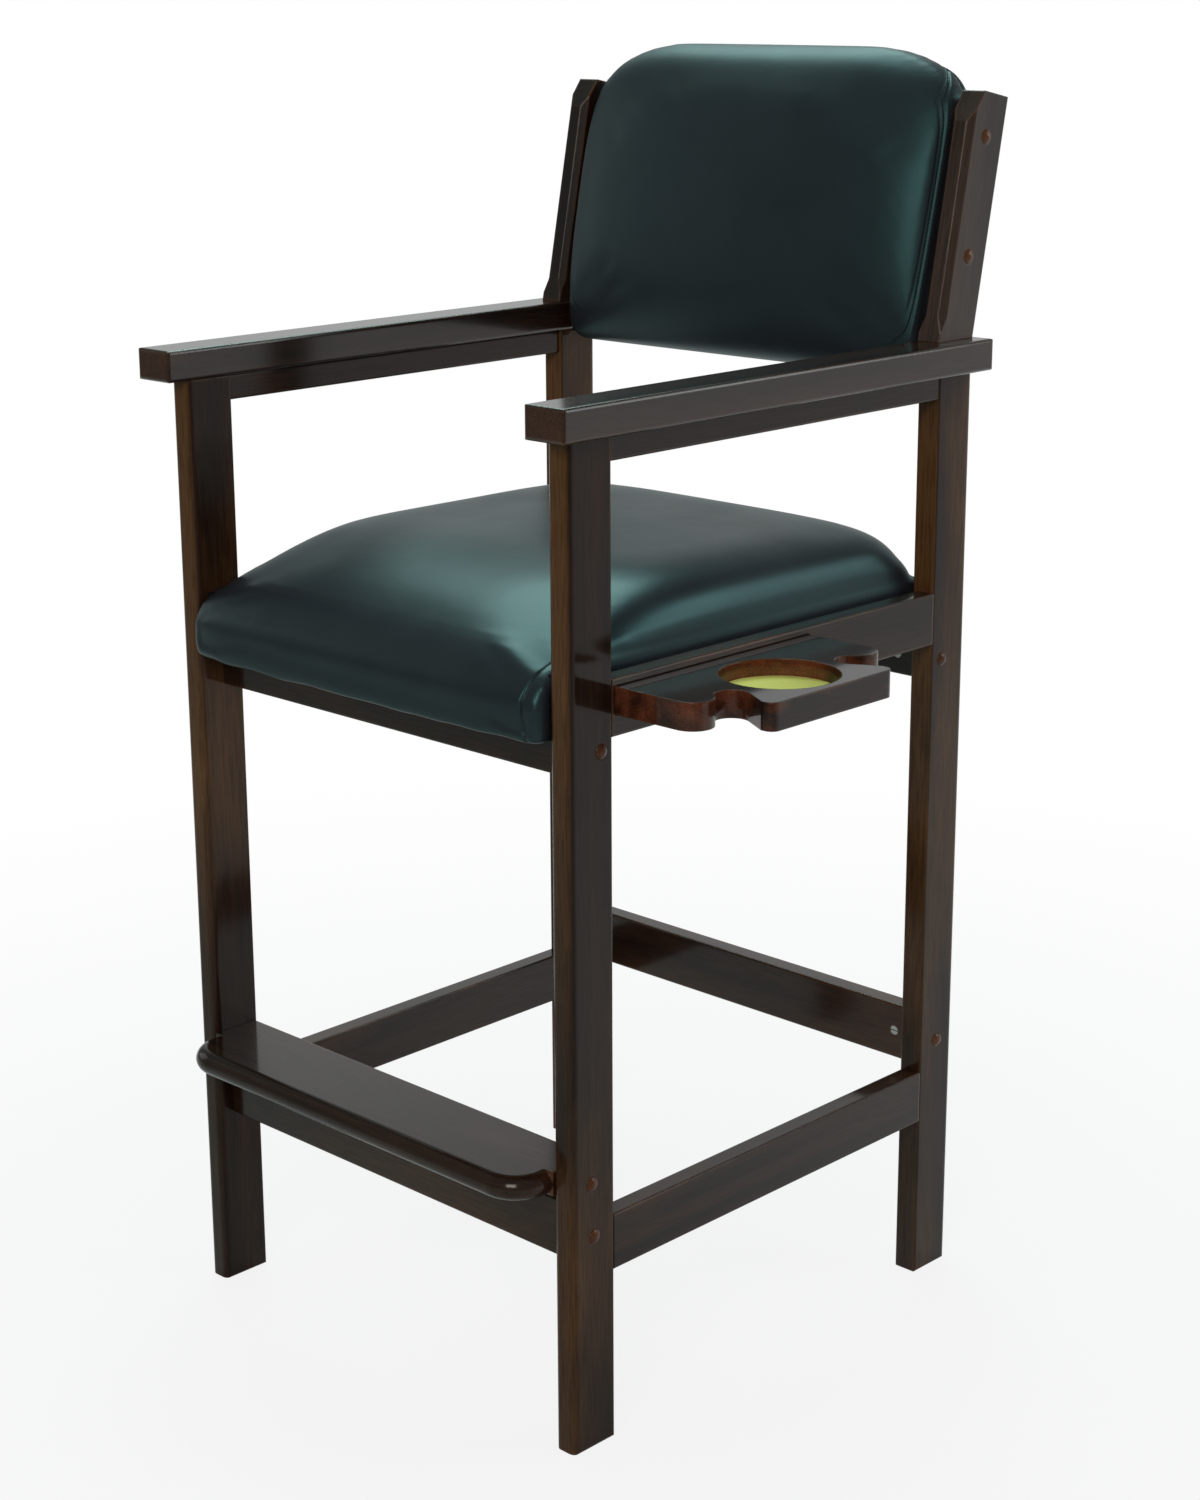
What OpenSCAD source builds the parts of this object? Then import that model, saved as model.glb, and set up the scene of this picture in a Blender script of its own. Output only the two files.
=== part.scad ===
// Spectator chair: a tall wooden armchair with a padded seat and back, a
// footrest, and a sliding board on one side that holds a cup and two cues.
// Millimetres. X runs across the chair and the sliding board is on the +X
// side, the front faces -Y, Z is up and the legs stand on Z = 0.

/* [Frame] */
// Width over the outer faces of the legs
frame_w = 544; // [510:1:600]
// Depth over the front and rear faces of the legs
frame_d = 571; // [540:1:620]
// Leg width, across the chair
leg_w = 26; // [24:0.5:32]
// Leg depth, front to back
leg_d = 54; // [52:0.5:60]
// Leg height, floor to the underside of the arm
leg_h = 959; // [940:1:1000]
// Radius on the front upright edges of the legs
leg_round = 7.5; // [4:0.5:10]
// Thickness of every rail
rail_t = 21; // [19:0.5:22]
// Small radius on the other edges of the wood
edge_r = 2; // [1:0.5:3]

/* [Arms] */
// Arm board width
arm_w = 48; // [44:1:56]
// Arm board thickness
arm_t = 31; // [28:1:36]
// How far the arm stands out in front of the leg
arm_front = 24; // [10:1:40]
// How far the arm stands out behind the leg
arm_rear = 6; // [2:1:12]
// How far the arm stands in past the inner face of the leg
arm_in = 2.4; // [1:0.2:3]
// Radius on the edges of the arm board
arm_edge = 3.5; // [2:0.5:6]
// Height of the rail under the arm
arm_rail_h = 25; // [22:1:32]
// How far the rail under the arm sits in from the leg's outer face
arm_rail_set = 1; // [0.5:0.5:3]

/* [Seat rails] */
// Height of the top of the side seat rails
seat_rail_top = 741; // [736:1:760]
// Height of the side seat rail itself
seat_rail_h = 53; // [50:1:58]
// Height of the middle of the front and rear seat rails
seat_cross_z = 678; // [674:1:681]
// Height of the front and rear seat rails themselves
seat_cross_h = 57; // [52:1:60]
// How far the front seat rail sits behind the legs' front faces
seat_front_set = 29.5; // [27:0.5:31]
// How far the rear seat rail sits ahead of the legs' rear faces
seat_rear_set = 27.5; // [22:0.5:31]
// How far the rear seat bolts sit below the middle of their rail
seat_rear_bolt_drop = 7; // [0:0.5:8]

/* [Lower rails] */
// Height of the top of the lower side rails
low_side_top = 229; // [220:1:240]
// Height of the lower side rail itself
low_side_h = 56; // [50:1:60]
// Height of the middle of the lower rear rail
low_rear_z = 258; // [250:1:270]
// Height of the lower rear rail itself
low_rear_h = 60; // [54:1:64]
// How far the lower rear rail sits ahead of the legs' rear faces
low_rear_set = 16.5; // [12:0.5:22]
// Height of the middle of the lower front rail
low_front_z = 216; // [200:1:217]
// Height of the lower front rail itself
low_front_h = 57; // [52:1:60]
// How far the lower front rail sits behind the legs' front faces
low_front_set = 17.5; // [12:0.5:20]

/* [Footrest] */
// Height of the top of the footrest
foot_top = 281; // [280:1:300]
// Footrest thickness
foot_t = 24; // [22:0.5:28]
// How far the footrest stands out in front of the legs
foot_front = 47.5; // [40:0.5:60]
// How far the footrest reaches back between the legs
foot_back = 50.5; // [48:0.5:52]
// Radius of the footrest's front corners, seen from above
foot_corner = 40; // [30:1:40]
// How far the footrest bolts sit behind the legs' front faces
foot_bolt_y = 25; // [22:0.5:27]

/* [Back] */
// Lean of the back, degrees from upright
back_lean = 11.3; // [9:0.1:13]
// Depth of a back post, square to its length
post_d = 54; // [52:0.5:56]
// Length of a back post along its front face
post_len = 244; // [240:1:260]
// How far the foot of the post starts ahead of the legs' rear faces
post_set = 57.2; // [56:0.2:60]
// Length of the slope cut on the top front of the post
post_cut_len = 31; // [20:1:40]
// Depth of the slope cut on the top front of the post
post_cut_d = 15; // [8:1:20]
// Width of the chamfer on the post's front edges
post_ease = 6; // [4:0.5:9]
// Height of the chamfer's pointed stop above the arm
post_foot = 8; // [6:1:20]
// Length of the pointed stop
post_stop = 17; // [10:1:30]
// Lower back bolt, along the post
back_bolt_low = 87; // [80:1:100]
// Upper back bolt, along the post
back_bolt_high = 202; // [190:1:206]
// Thickness of the board inside the back
back_board_t = 22; // [20:0.5:24]
// Distance from the post's front face to the board
back_board_set = 16; // [14:0.5:18]
// Thickness of the rear cover panel
cover_t = 13; // [6:0.5:14]

/* [Upholstery] */
// Gap between the seat cushion and the legs
seat_gap = 1; // [0.5:0.5:3]
// Thickness of the seat base board
base_t = 12; // [12:0.5:15]
// Height of the seat cushion's crown above its base board
seat_crown = 60.5; // [45:0.5:65]
// How far the seat cushion stands out in front of the legs
seat_over = 20; // [10:1:26]
// How far the front of the cushion hangs below the base board
seat_drop = 62; // [56:1:64]
// How far the seat reaches back from the legs' rear faces
seat_rear_gap = 33; // [32:0.5:40]
// Thickness of the strip behind the cushion's hanging front
apron_t = 18; // [14:0.5:20]
// Gap between the back cushion and the arms
back_gap = 3.6; // [0.5:0.1:5]
// Top of the back cushion, along the post from its foot
back_top = 287; // [280:1:295]
// Bottom of the back cushion, along the post from its foot
back_low = -36; // [-40:1:-30]
// How far the back cushion bulges ahead of the post
back_bulge = 35; // [25:1:45]
// Height of the back cushion's rounded top corners
back_corner = 57; // [30:1:58]
// Width of the back cushion's rounded top corners
back_arch = 120; // [60:2:160]

/* [Holder] */
// Holder board thickness
holder_t = 26; // [24:0.5:26.5]
// How far the holder's top sits below the top of the side rail
holder_drop = 7; // [6:0.5:8]
// Holder board width, front to back
holder_w = 266; // [262:1:280]
// How far the holder stands out past the rail
holder_out = 139.5; // [136:0.5:150]
// How much of the holder stays inside the rail
holder_inside = 150; // [140:1:160]
// How far the holder slides in
holder_travel = 120; // [80:1:130]
// Radius of the rounded lobes beside the notches
lobe_r = 20; // [16:0.5:22]
// Distance of the lobes' centres past the rail
lobe_e = 73; // [70:0.5:76]
// Distance of the notches' centres past the rail
notch_e = 92; // [90:0.5:94]
// Distance of the notches' centres from the middle
notch_v = 83; // [81:0.5:85]
// Half width of the holder's outer end
end_v = 84; // [82:0.5:86]
// Where the notch's ramp meets the outer end
ramp_e = 126; // [124:0.5:127]
// Radius of the outer corners
end_r = 9; // [6:0.5:9]
// Radius of the cup recess
cup_r = 55; // [45:0.5:56]
// Distance of the cup recess past the rail
cup_e = 76; // [72:0.5:78]
// Depth of the cup recess
cup_depth = 18; // [14:0.5:19]
// Thickness of the pad in the cup recess
pad_t = 2; // [1.5:0.5:4]
// Running gap between the holder and its slot and runners
slide_gap = 0.5; // [0.3:0.1:0.8]
// Wall thickness of a runner
runner_wall = 6.5; // [6.5:0.5:8]
// Thickness of the lip under the board
runner_lip_t = 8.5; // [6:0.5:9]
// How far the lip reaches under the board
runner_lip = 12.5; // [8:0.5:15]
// Height of the stop bar under the board
stop_h = 10; // [8:0.5:10]
// Width of the stop bar
stop_w = 10.5; // [9:0.5:14]

/* [Fixings] */
// Radius of the frame bolts
bolt_r = 3; // [2.5:0.5:3]
// Length of the frame bolts under the head
bolt_len = 50; // [46:1:52]
// Depth of the bolt head bores in the legs
bore_depth = 9; // [8.5:0.5:11]
// Radius of the plugs over the bolt heads
plug_r = 7; // [6.5:0.25:8]
// How far the domed plugs stand proud
plug_rise = 3.5; // [2:0.5:4]
// Radius of the barrel nuts
nut_r = 5; // [4.5:0.25:5.5]
// Distance of the barrel nuts from the rail's end
nut_set = 22; // [20:0.5:24]
// Radius of the locating dowels in the rail ends
dowel_r = 4; // [3:0.5:4]
// Radius of the upright dowels in arms and posts
arm_dowel_r = 5; // [4:0.5:5]
// Tenon thickness on the side rails
tenon_t = 9; // [7:0.5:10]
// Tenon length on the side rails
tenon_len = 14; // [10:0.5:14]
// Gap around tenons and dowels
fit_gap = 0.1; // [0.05:0.05:0.3]

/* [Hidden] */
$fn = 72;
over = 1;
x_out = frame_w / 2;
x_in = x_out - leg_w;
x_rail = x_out - rail_t;
y_front = -frame_d / 2;
y_rear = frame_d / 2;
arm_top = leg_h + arm_t;
tenon_edge = 5;

// Fixings inside the frame
head_r = plug_r - 0.5;
head_t = 3.5;
hole_r = bolt_r + 0.5;
thread_gap = 0.05;
seat_x = x_out - bore_depth;
tip_x = seat_x - bolt_len;
nut_x = x_in - nut_set;
nut_len = rail_t - 4;
foot_nut_len = foot_t - 5;
dowel_in_rail = 16;
dowel_in_leg = 12;
screw_r = 2;
screw_head_r = 3.8;
screw_head_t = 2.5;

// Seat and holder heights
holder_top = seat_rail_top - holder_drop;
holder_z = holder_top - holder_t;
base_z = holder_top + 1;
base_top = base_z + base_t;
cross_top = seat_cross_z + seat_cross_h / 2;
cross_low = seat_cross_z - seat_cross_h / 2;
seat_half = x_in - seat_gap;
base_half = seat_half - 2;
base_front = y_front + seat_front_set - apron_t;
base_rear = y_rear - seat_rear_gap;
seat_rail_low = seat_rail_top - seat_rail_h;
cushion_low = base_top - seat_drop;
front_rail_back = y_front + seat_front_set + rail_t;

// Holder positions
holder_front = front_rail_back + 0.5 + runner_wall + slide_gap;
holder_mid = holder_front + holder_w / 2;
holder_end = x_out - holder_inside;
stop_x = holder_end - holder_travel - 0.5;
stop_block_w = 12;
runner_x = stop_x - stop_block_w;
runner_end = x_in - 0.5;
stop_bar_end = x_rail - 0.5;
lip_top = holder_z - slide_gap;
lip_low = lip_top - runner_lip_t;
lobe_v = holder_w / 2 - lobe_r;
notch_r = norm([notch_e - lobe_e, notch_v - lobe_v]) - lobe_r;
stop_half = holder_w / 2 - runner_lip - 5;
runner_screw_x = [runner_x + 30, (runner_x + runner_end) / 2, runner_end - 30];

// Bolt centres: distance along Y and height, front legs then rear legs
seat_front_mid = y_front + seat_front_set + rail_t / 2;
low_front_mid = y_front + low_front_set + rail_t / 2;
seat_rear_mid = y_rear - seat_rear_set - rail_t / 2;
low_rear_mid = y_rear - low_rear_set - rail_t / 2;
foot_z = foot_top - foot_t / 2;
rear_bolt_z = seat_cross_z - seat_rear_bolt_drop;
front_bolts = [
    [seat_front_mid, seat_cross_z],
    [low_front_mid, low_front_z],
    [y_front + foot_bolt_y, foot_z]
];
rear_bolts = [
    [seat_rear_mid, rear_bolt_z],
    [low_rear_mid, low_rear_z]
];
front_dowels = [
    [seat_front_mid, seat_cross_z - 19],
    [low_front_mid, low_front_z - 19],
    [y_front + foot_bolt_y + 17, foot_z]
];
rear_dowels = [
    [seat_rear_mid, rear_bolt_z + 17],
    [low_rear_mid, low_rear_z - 19]
];
arm_dowel_front = y_front + 0.45 * leg_d;
arm_dowel_deep = 0.45 * leg_d;
arm_dowel_up = 0.6 * arm_t;
post_dowels_y = [y_rear - 0.55 * leg_d, y_rear - 0.2 * leg_d];
arm_screw_y = [-120, 120];
seat_screw_x = [-170, 0, 170];

// Back positions, in the leaning frame of the posts
post_mid = post_d / 2;
board_low = back_low + 8;
board_high = 228;
board_back = back_board_set + back_board_t;
board_half = x_in - 10;
cushion_half = x_in - arm_in - back_gap;

// Sub-part to draw, or "all"

// Shared shapes

// Rectangle from the origin, with radius a on the two corners at y = 0 and
// radius b on the two corners at y = h.
module round_rect(w, h, a, b) {
    translate([0, a]) square([w, h - a - b]);
    translate([a, 0]) square([w - 2 * a, h - b]);
    translate([b, a]) square([w - 2 * b, h - a]);
    for (x = [a, w - a]) translate([x, a]) circle(r = a);
    for (x = [b, w - b]) translate([x, h - b]) circle(r = b);
}

// Bar along X with softened long edges
module bar_x(x, y, z, length, w, h) {
    translate([x, y, z]) rotate([90, 0, 90])
        linear_extrude(length) round_rect(w, h, edge_r, edge_r);
}

// Bar along Y with softened long edges
module bar_y(x, y, z, length, w, h) {
    translate([x, y + length, z]) rotate([90, 0, 0])
        linear_extrude(length) round_rect(w, h, edge_r, edge_r);
}

// Cylinder along +X
module rod_x(x, y, z, r, length) {
    translate([x, y, z]) rotate([0, 90, 0]) cylinder(r = r, h = length);
}

// Cylinder along +Z
module rod_z(x, y, z, r, length) {
    translate([x, y, z]) cylinder(r = r, h = length);
}

// The leaning frame of the back: Y is depth behind the posts' front faces
// and Z runs up along the posts from the arm.
module back_frame() {
    translate([0, y_rear - post_set, arm_top]) rotate([-back_lean, 0, 0])
        children();
}

// The same thing again on the other side of the chair
module both_sides() {
    children();
    mirror([1, 0, 0]) children();
}

// Hole for a frame bolt through the right-hand leg or post, with the bore
// for its head and plug
module leg_bolt_hole(y, z) {
    rod_x(x_in - over, y, z, hole_r, leg_w);
    rod_x(seat_x, y, z, plug_r + fit_gap, bore_depth + over);
}

// Mortises for the side rails in the front right-hand leg
module mortises() {
    for (m = [
        [x_out - arm_rail_set - rail_t, leg_h - arm_rail_h, arm_rail_h],
        [x_rail, seat_rail_low, seat_rail_h],
        [x_rail, low_side_top - low_side_h, low_side_h]
    ])
        translate([
            m[0] + (rail_t - tenon_t) / 2 - fit_gap,
            y_front + leg_d - tenon_len - fit_gap,
            m[1] + tenon_edge - fit_gap
        ])
            cube([
                tenon_t + 2 * fit_gap,
                tenon_len + fit_gap + over,
                m[2] - 2 * tenon_edge + 2 * fit_gap
            ]);
}

// Leg with its front edges rounded, its other edges softened and its foot
// eased so that it doesn't splinter
module leg_blank() {
    intersection() {
        linear_extrude(leg_h)
            round_rect(leg_w, leg_d, leg_round, edge_r);
        translate([0, leg_d, 0]) rotate([90, 0, 0]) linear_extrude(leg_d)
            union() {
                translate([0, edge_r]) square([leg_w, leg_h - edge_r]);
                translate([edge_r, 0]) square([leg_w - 2 * edge_r, leg_h]);
                for (x = [edge_r, leg_w - edge_r])
                    translate([x, edge_r]) circle(r = edge_r);
            }
    }
}

module front_leg() {
    difference() {
        translate([x_in, y_front, 0]) leg_blank();
        for (b = front_bolts) leg_bolt_hole(b[0], b[1]);
        for (d = front_dowels)
            rod_x(x_in - over, d[0], d[1], dowel_r + fit_gap, dowel_in_leg + over + 0.5);
        mortises();
        rod_z(x_in + leg_w / 2, arm_dowel_front, leg_h - arm_dowel_deep - 1,
            arm_dowel_r + fit_gap, arm_dowel_deep + 1 + over);
    }
}

module rear_leg() {
    difference() {
        translate([x_in, y_rear, 0]) mirror([0, 1, 0]) leg_blank();
        for (b = rear_bolts) leg_bolt_hole(b[0], b[1]);
        for (d = rear_dowels)
            rod_x(x_in - over, d[0], d[1], dowel_r + fit_gap, dowel_in_leg + over + 0.5);
        mirror([0, 1, 0]) mortises();
        for (y = post_dowels_y)
            rod_z(x_in + leg_w / 2, y, leg_h - arm_dowel_deep - 1,
                arm_dowel_r + fit_gap, arm_dowel_deep + 1 + over);
    }
}

module front_leg_left() color("#2b1a14") mirror([1, 0, 0]) front_leg();
module front_leg_right() color("#2b1a14") front_leg();
module rear_leg_left() color("#2b1a14") mirror([1, 0, 0]) rear_leg();
module rear_leg_right() color("#2b1a14") rear_leg();

// Arm board, eased on every edge, with dowel and screw holes
module arm() {
    length = frame_d + arm_front + arm_rear;
    x = x_in - arm_in;
    difference() {
        translate([x, y_front - arm_front, leg_h]) intersection() {
            linear_extrude(arm_t)
                round_rect(arm_w, length, arm_edge + 0.5, arm_edge);
            translate([0, length, 0]) rotate([90, 0, 0]) linear_extrude(length)
                round_rect(arm_w, arm_t, arm_edge, arm_edge);
            rotate([90, 0, 90]) linear_extrude(arm_w)
                round_rect(length, arm_t, arm_edge, arm_edge);
        }
        rod_z(x_in + leg_w / 2, arm_dowel_front, leg_h - over, arm_dowel_r + fit_gap,
            arm_dowel_up + 1 + over);
        for (y = post_dowels_y)
            rod_z(x_in + leg_w / 2, y, leg_h - over, arm_dowel_r + fit_gap, arm_t + 2 * over);
        for (y = arm_screw_y)
            rod_z(x_out - arm_rail_set - rail_t / 2, y, leg_h - over, screw_r + thread_gap,
                19 + over);
    }
}

module arm_left() color("#33201a") mirror([1, 0, 0]) arm();
module arm_right() color("#33201a") arm();

// Rail between the front and rear legs, with a stub tenon at each end
module side_rail(x, z, h) {
    y = y_front + leg_d;
    length = frame_d - 2 * leg_d;
    bar_y(x, y, z, length, rail_t, h);
    translate([x + (rail_t - tenon_t) / 2, y - tenon_len, z + tenon_edge])
        cube([tenon_t, length + 2 * tenon_len, h - 2 * tenon_edge]);
}

module arm_rail() {
    difference() {
        side_rail(x_out - arm_rail_set - rail_t, leg_h - arm_rail_h, arm_rail_h);
        for (y = arm_screw_y) {
            rod_z(x_out - arm_rail_set - rail_t / 2, y, leg_h - arm_rail_h - over,
                screw_head_r + 0.7, 8 + over);
            rod_z(x_out - arm_rail_set - rail_t / 2, y, leg_h - arm_rail_h,
                screw_r + 0.2, arm_rail_h + over);
        }
    }
}

module arm_rail_left() color("#2b1a14") mirror([1, 0, 0]) arm_rail();
module arm_rail_right() color("#2b1a14") arm_rail();

module seat_rail_left() {
    color("#2b1a14") mirror([1, 0, 0])
        side_rail(x_rail, seat_rail_low, seat_rail_h);
}

// The right-hand seat rail has the slot that the holder slides through
module seat_rail_right() {
    color("#2b1a14") difference() {
        side_rail(x_rail, seat_rail_low, seat_rail_h);
        translate([x_rail - over, holder_front - slide_gap, holder_z - slide_gap])
            cube([rail_t + 2 * over, holder_w + 2 * slide_gap, holder_t + 2 * slide_gap]);
    }
}

module low_rail_left() {
    color("#2b1a14") mirror([1, 0, 0])
        side_rail(x_rail, low_side_top - low_side_h, low_side_h);
}

module low_rail_right() {
    color("#2b1a14") side_rail(x_rail, low_side_top - low_side_h, low_side_h);
}

// Holes in the end of a rail for one bolt and one dowel
module rail_end_holes(bolt, dowel) {
    both_sides() {
        rod_x(tip_x - 3, bolt[0], bolt[1], hole_r, bolt_len);
        rod_x(x_in - dowel_in_rail - 0.5, dowel[0], dowel[1], dowel_r + fit_gap,
            dowel_in_rail + over + 0.5);
    }
}

// Rail between two legs. Its barrel nuts go in from the inside of the
// chair: side is 1 when that is the rear face and -1 when it is the front.
module cross_rail(mid, z, h, bolt, dowel, side) {
    difference() {
        bar_x(-x_in, mid - rail_t / 2, z - h / 2, 2 * x_in, rail_t, h);
        rail_end_holes(bolt, dowel);
        both_sides()
            translate([nut_x, mid + side * (rail_t / 2 + over), bolt[1]])
                rotate([side * 90, 0, 0])
                    cylinder(r = nut_r + fit_gap, h = nut_len + 0.8 + over);
    }
}

module seat_rail_front() {
    color("#2b1a14") difference() {
        cross_rail(seat_front_mid, seat_cross_z, seat_cross_h,
            front_bolts[0], front_dowels[0], 1);
        seat_screw_holes(seat_front_mid);
    }
}

module seat_rail_rear() {
    color("#2b1a14") difference() {
        cross_rail(seat_rear_mid, seat_cross_z, seat_cross_h,
            rear_bolts[0], rear_dowels[0], -1);
        seat_screw_holes(seat_screw_rear);
    }
}

module low_rail_front() {
    color("#2b1a14") cross_rail(low_front_mid, low_front_z, low_front_h,
        front_bolts[1], front_dowels[1], 1);
}

module low_rail_rear() {
    color("#2b1a14") cross_rail(low_rear_mid, low_rear_z, low_rear_h,
        rear_bolts[1], rear_dowels[1], -1);
}

// Footrest with a full round nose that runs on round both front corners
module footrest() {
    r = foot_t / 2;
    cx = x_in - foot_corner;
    cy = y_front - foot_front + foot_corner;
    reach = foot_corner - r;
    color("#2b1a14") difference() {
        translate([0, 0, foot_z]) union() {
            translate([-x_in, y_front, -r]) cube([2 * x_in, foot_back, foot_t]);
            translate([-cx - reach, cy, -r])
                cube([2 * (cx + reach), y_front - cy + over, foot_t]);
            translate([-cx, cy - reach, -r])
                cube([2 * cx, reach + over, foot_t]);
            for (s = [-1, 1]) translate([s * cx, cy, 0]) {
                translate([0, 0, -r]) cylinder(r = reach, h = foot_t);
                rotate_extrude() translate([reach, 0]) circle(r = r);
            }
            rod_x(-cx, cy - reach, 0, r, 2 * cx);
            for (s = [-1, 1]) translate([s * (cx + reach), y_front + over, 0])
                rotate([90, 0, 0]) cylinder(r = r, h = y_front - cy + over);
        }
        rail_end_holes(front_bolts[2], front_dowels[2]);
        both_sides()
            rod_z(nut_x, front_bolts[2][0], foot_top - foot_t - over,
                nut_r + fit_gap, foot_nut_len + 0.8 + over);
    }
}

// Back post: stands on the arm, leans back, square at its foot, rounded on
// its front edges and cut at a slope at its top
// What a chamfer takes off an upright edge, down to a pointed stop above
// the arm. X goes in from the edge.
module post_chamfer() {
    deep = post_ease / sqrt(2);
    out = post_ease;
    rotate([90, 0, 0]) linear_extrude(4 * post_ease, center = true)
        polygon([
            [-out, post_foot - post_stop * out / deep],
            [deep, post_foot + post_stop], [deep, post_len + over], [-out, post_len + over]
        ]);
}

module back_post() {
    difference() {
        intersection() {
            back_frame() intersection() {
                translate([x_in, 0, -20]) difference() {
                    linear_extrude(post_len + 20) round_rect(leg_w, post_d, 0.6, edge_r);
                    translate([leg_w, 0, 20]) rotate([0, 0, 135]) post_chamfer();
                    translate([0, 0, 20]) rotate([0, 0, 45]) post_chamfer();
                }
                translate([x_in, 0, 0]) rotate([90, 0, 90]) linear_extrude(leg_w)
                    polygon([
                        [0, -20], [post_d, -20], [post_d, post_len],
                        [post_cut_d, post_len], [0, post_len - post_cut_len]
                    ]);
            }
            translate([x_in - over, y_rear - 120, arm_top])
                cube([leg_w + 2 * over, 260, post_len + 60]);
        }
        back_frame() for (s = [back_bolt_low, back_bolt_high])
            leg_bolt_hole(post_mid, s);
        for (y = post_dowels_y)
            rod_z(x_in + leg_w / 2, y, arm_top - over, arm_dowel_r + fit_gap,
                arm_dowel_deep + 1 + over);
    }
}

module back_post_left() color("#2b1a14") mirror([1, 0, 0]) back_post();
module back_post_right() color("#2b1a14") back_post();

// Seat base and what carries it

seat_screw_rear = (base_rear + y_rear - seat_rear_set - rail_t) / 2;
seat_screw_low = cross_low + 36;
seat_screw_top = base_top - 2;

module seat_screw_holes(y) {
    for (x = seat_screw_x) {
        rod_z(x, y, cross_low - over, screw_head_r + 0.7, 36 + over);
        rod_z(x, y, seat_screw_low - over, screw_r + 0.2, base_z - seat_screw_low + 2 * over);
    }
}

module seat_base() {
    color("#b99a6b") difference() {
        translate([-base_half, base_front, base_z])
            cube([2 * base_half, base_rear - base_front, base_t]);
        for (x = seat_screw_x, y = [seat_front_mid, seat_screw_rear])
            rod_z(x, y, base_z - over, screw_r + thread_gap, base_t - 1.5 + over);
        for (p = runner_screw_spots)
            rod_z(p[0], p[1], base_z - over, screw_r + thread_gap, base_t - 1.5 + over);
    }
}

module seat_apron() {
    color("#b99a6b")
        translate([-base_half, base_front, cushion_low + 2])
            cube([2 * base_half, apron_t, base_z - cushion_low - 2]);
}

module batten(y, w, screw_y) {
    difference() {
        translate([-x_in + 6, y, cross_top])
            cube([2 * x_in - 12, w, base_z - cross_top]);
        for (x = seat_screw_x)
            rod_z(x, screw_y, cross_top - over, screw_r + 0.2,
                base_z - cross_top + 2 * over);
    }
}

module seat_batten_front() {
    color("#a98a5c") batten(y_front + seat_front_set, rail_t, seat_front_mid);
}

module seat_batten_rear() {
    y = y_rear - seat_rear_set - rail_t;
    color("#a98a5c") batten(y, base_rear - y, seat_screw_rear);
}

// Padded forms. Each is a skin over a grid of rings: outer points swell out
// from the inner ones, and the swell dies away towards both ends.

// Joins the grid o[j][i] to the two end rows a and b of inner points
module skin(o, a, b) {
    m = len(o) - 1;
    n = len(a) - 1;
    w = n + 1;
    ia = (m + 1) * w;
    ib = ia + w;
    points = concat([for (row = o) for (p = row) p], a, b);
    faces = concat(
        [for (j = [0:m - 1], i = [0:n - 1], k = [0, 1])
            k == 0 ? [j * w + i, j * w + i + 1, (j + 1) * w + i + 1]
                   : [j * w + i, (j + 1) * w + i + 1, (j + 1) * w + i]],
        [for (i = [0:n - 1], k = [0, 1])
            k == 0 ? [ia + i, ib + i, ib + i + 1] : [ia + i, ib + i + 1, ia + i + 1]],
        [for (i = [0:n - 1], k = [0, 1])
            k == 0 ? [i, ia + i, ia + i + 1] : [i, ia + i + 1, i + 1]],
        [for (i = [0:n - 1], k = [0, 1])
            k == 0 ? [m * w + i, m * w + i + 1, ib + i + 1] : [m * w + i, ib + i + 1, ib + i]],
        [for (j = [0:m - 1]) [ia, j * w, (j + 1) * w]],
        [[ia, m * w, ib]],
        [for (j = [0:m - 1]) [ia + n, (j + 1) * w + n, j * w + n]],
        [[ia + n, ib + n, m * w + n]]
    );
    polyhedron(points = points, faces = faces, convexity = 6);
}

// Spacing of the rings across the chair, closer together at both ends
function ring(j, m) = sin(90 * (2 * j / m - 1));

// How much of the full swell is left at a place from -1 to 1 across
function swell(u, low, p, q) = low + (1 - low) * pow(1 - pow(abs(u), p), q);

seat_rings = 26;
seat_steps = 36;
seat_split = 12;
seat_nose = cushion_low + 41;
seat_run = 0.374 * frame_d;
seat_roll = 0.163 * frame_d;

// Inner line of the seat cushion: up behind its hanging front, then back
// along the base board
function seat_inner(i) = i <= seat_split
    ? [base_front, cushion_low + (base_top - cushion_low) * i / seat_split]
    : [base_front + (base_rear - 18 - base_front)
        * pow((i - seat_split) / (seat_steps - seat_split), 0.9), base_top];

// Outer line of the seat cushion over its middle: a nearly upright front,
// a long waterfall, the crown and the roll down at the rear
function seat_outer(i) =
    let (front = y_front - seat_over)
    i <= 6
    ? [front + 4 * pow(1 - i / 6, 2), cushion_low + (seat_nose - cushion_low) * i / 6]
    : i <= 24
    ? let (a = 1 - pow((i - 6) / 18, 1.88))
        [front + seat_run * (1 - a),
         seat_nose + (base_top + seat_crown - seat_nose) * pow(1 - a * a, 0.741)]
    : let (
        v = (i - 24) / (seat_steps - 24),
        y0 = front + seat_run,
        y1 = base_rear - seat_roll
    )
        v < 0.25
        ? [y0 + (y1 - y0) * v / 0.25, base_top + seat_crown]
        : let (c = sin(90 * (v - 0.25) / 0.75))
            [y1 + seat_roll * c, base_top + seat_crown * pow(1 - pow(c, 5), 0.48)];

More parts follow.
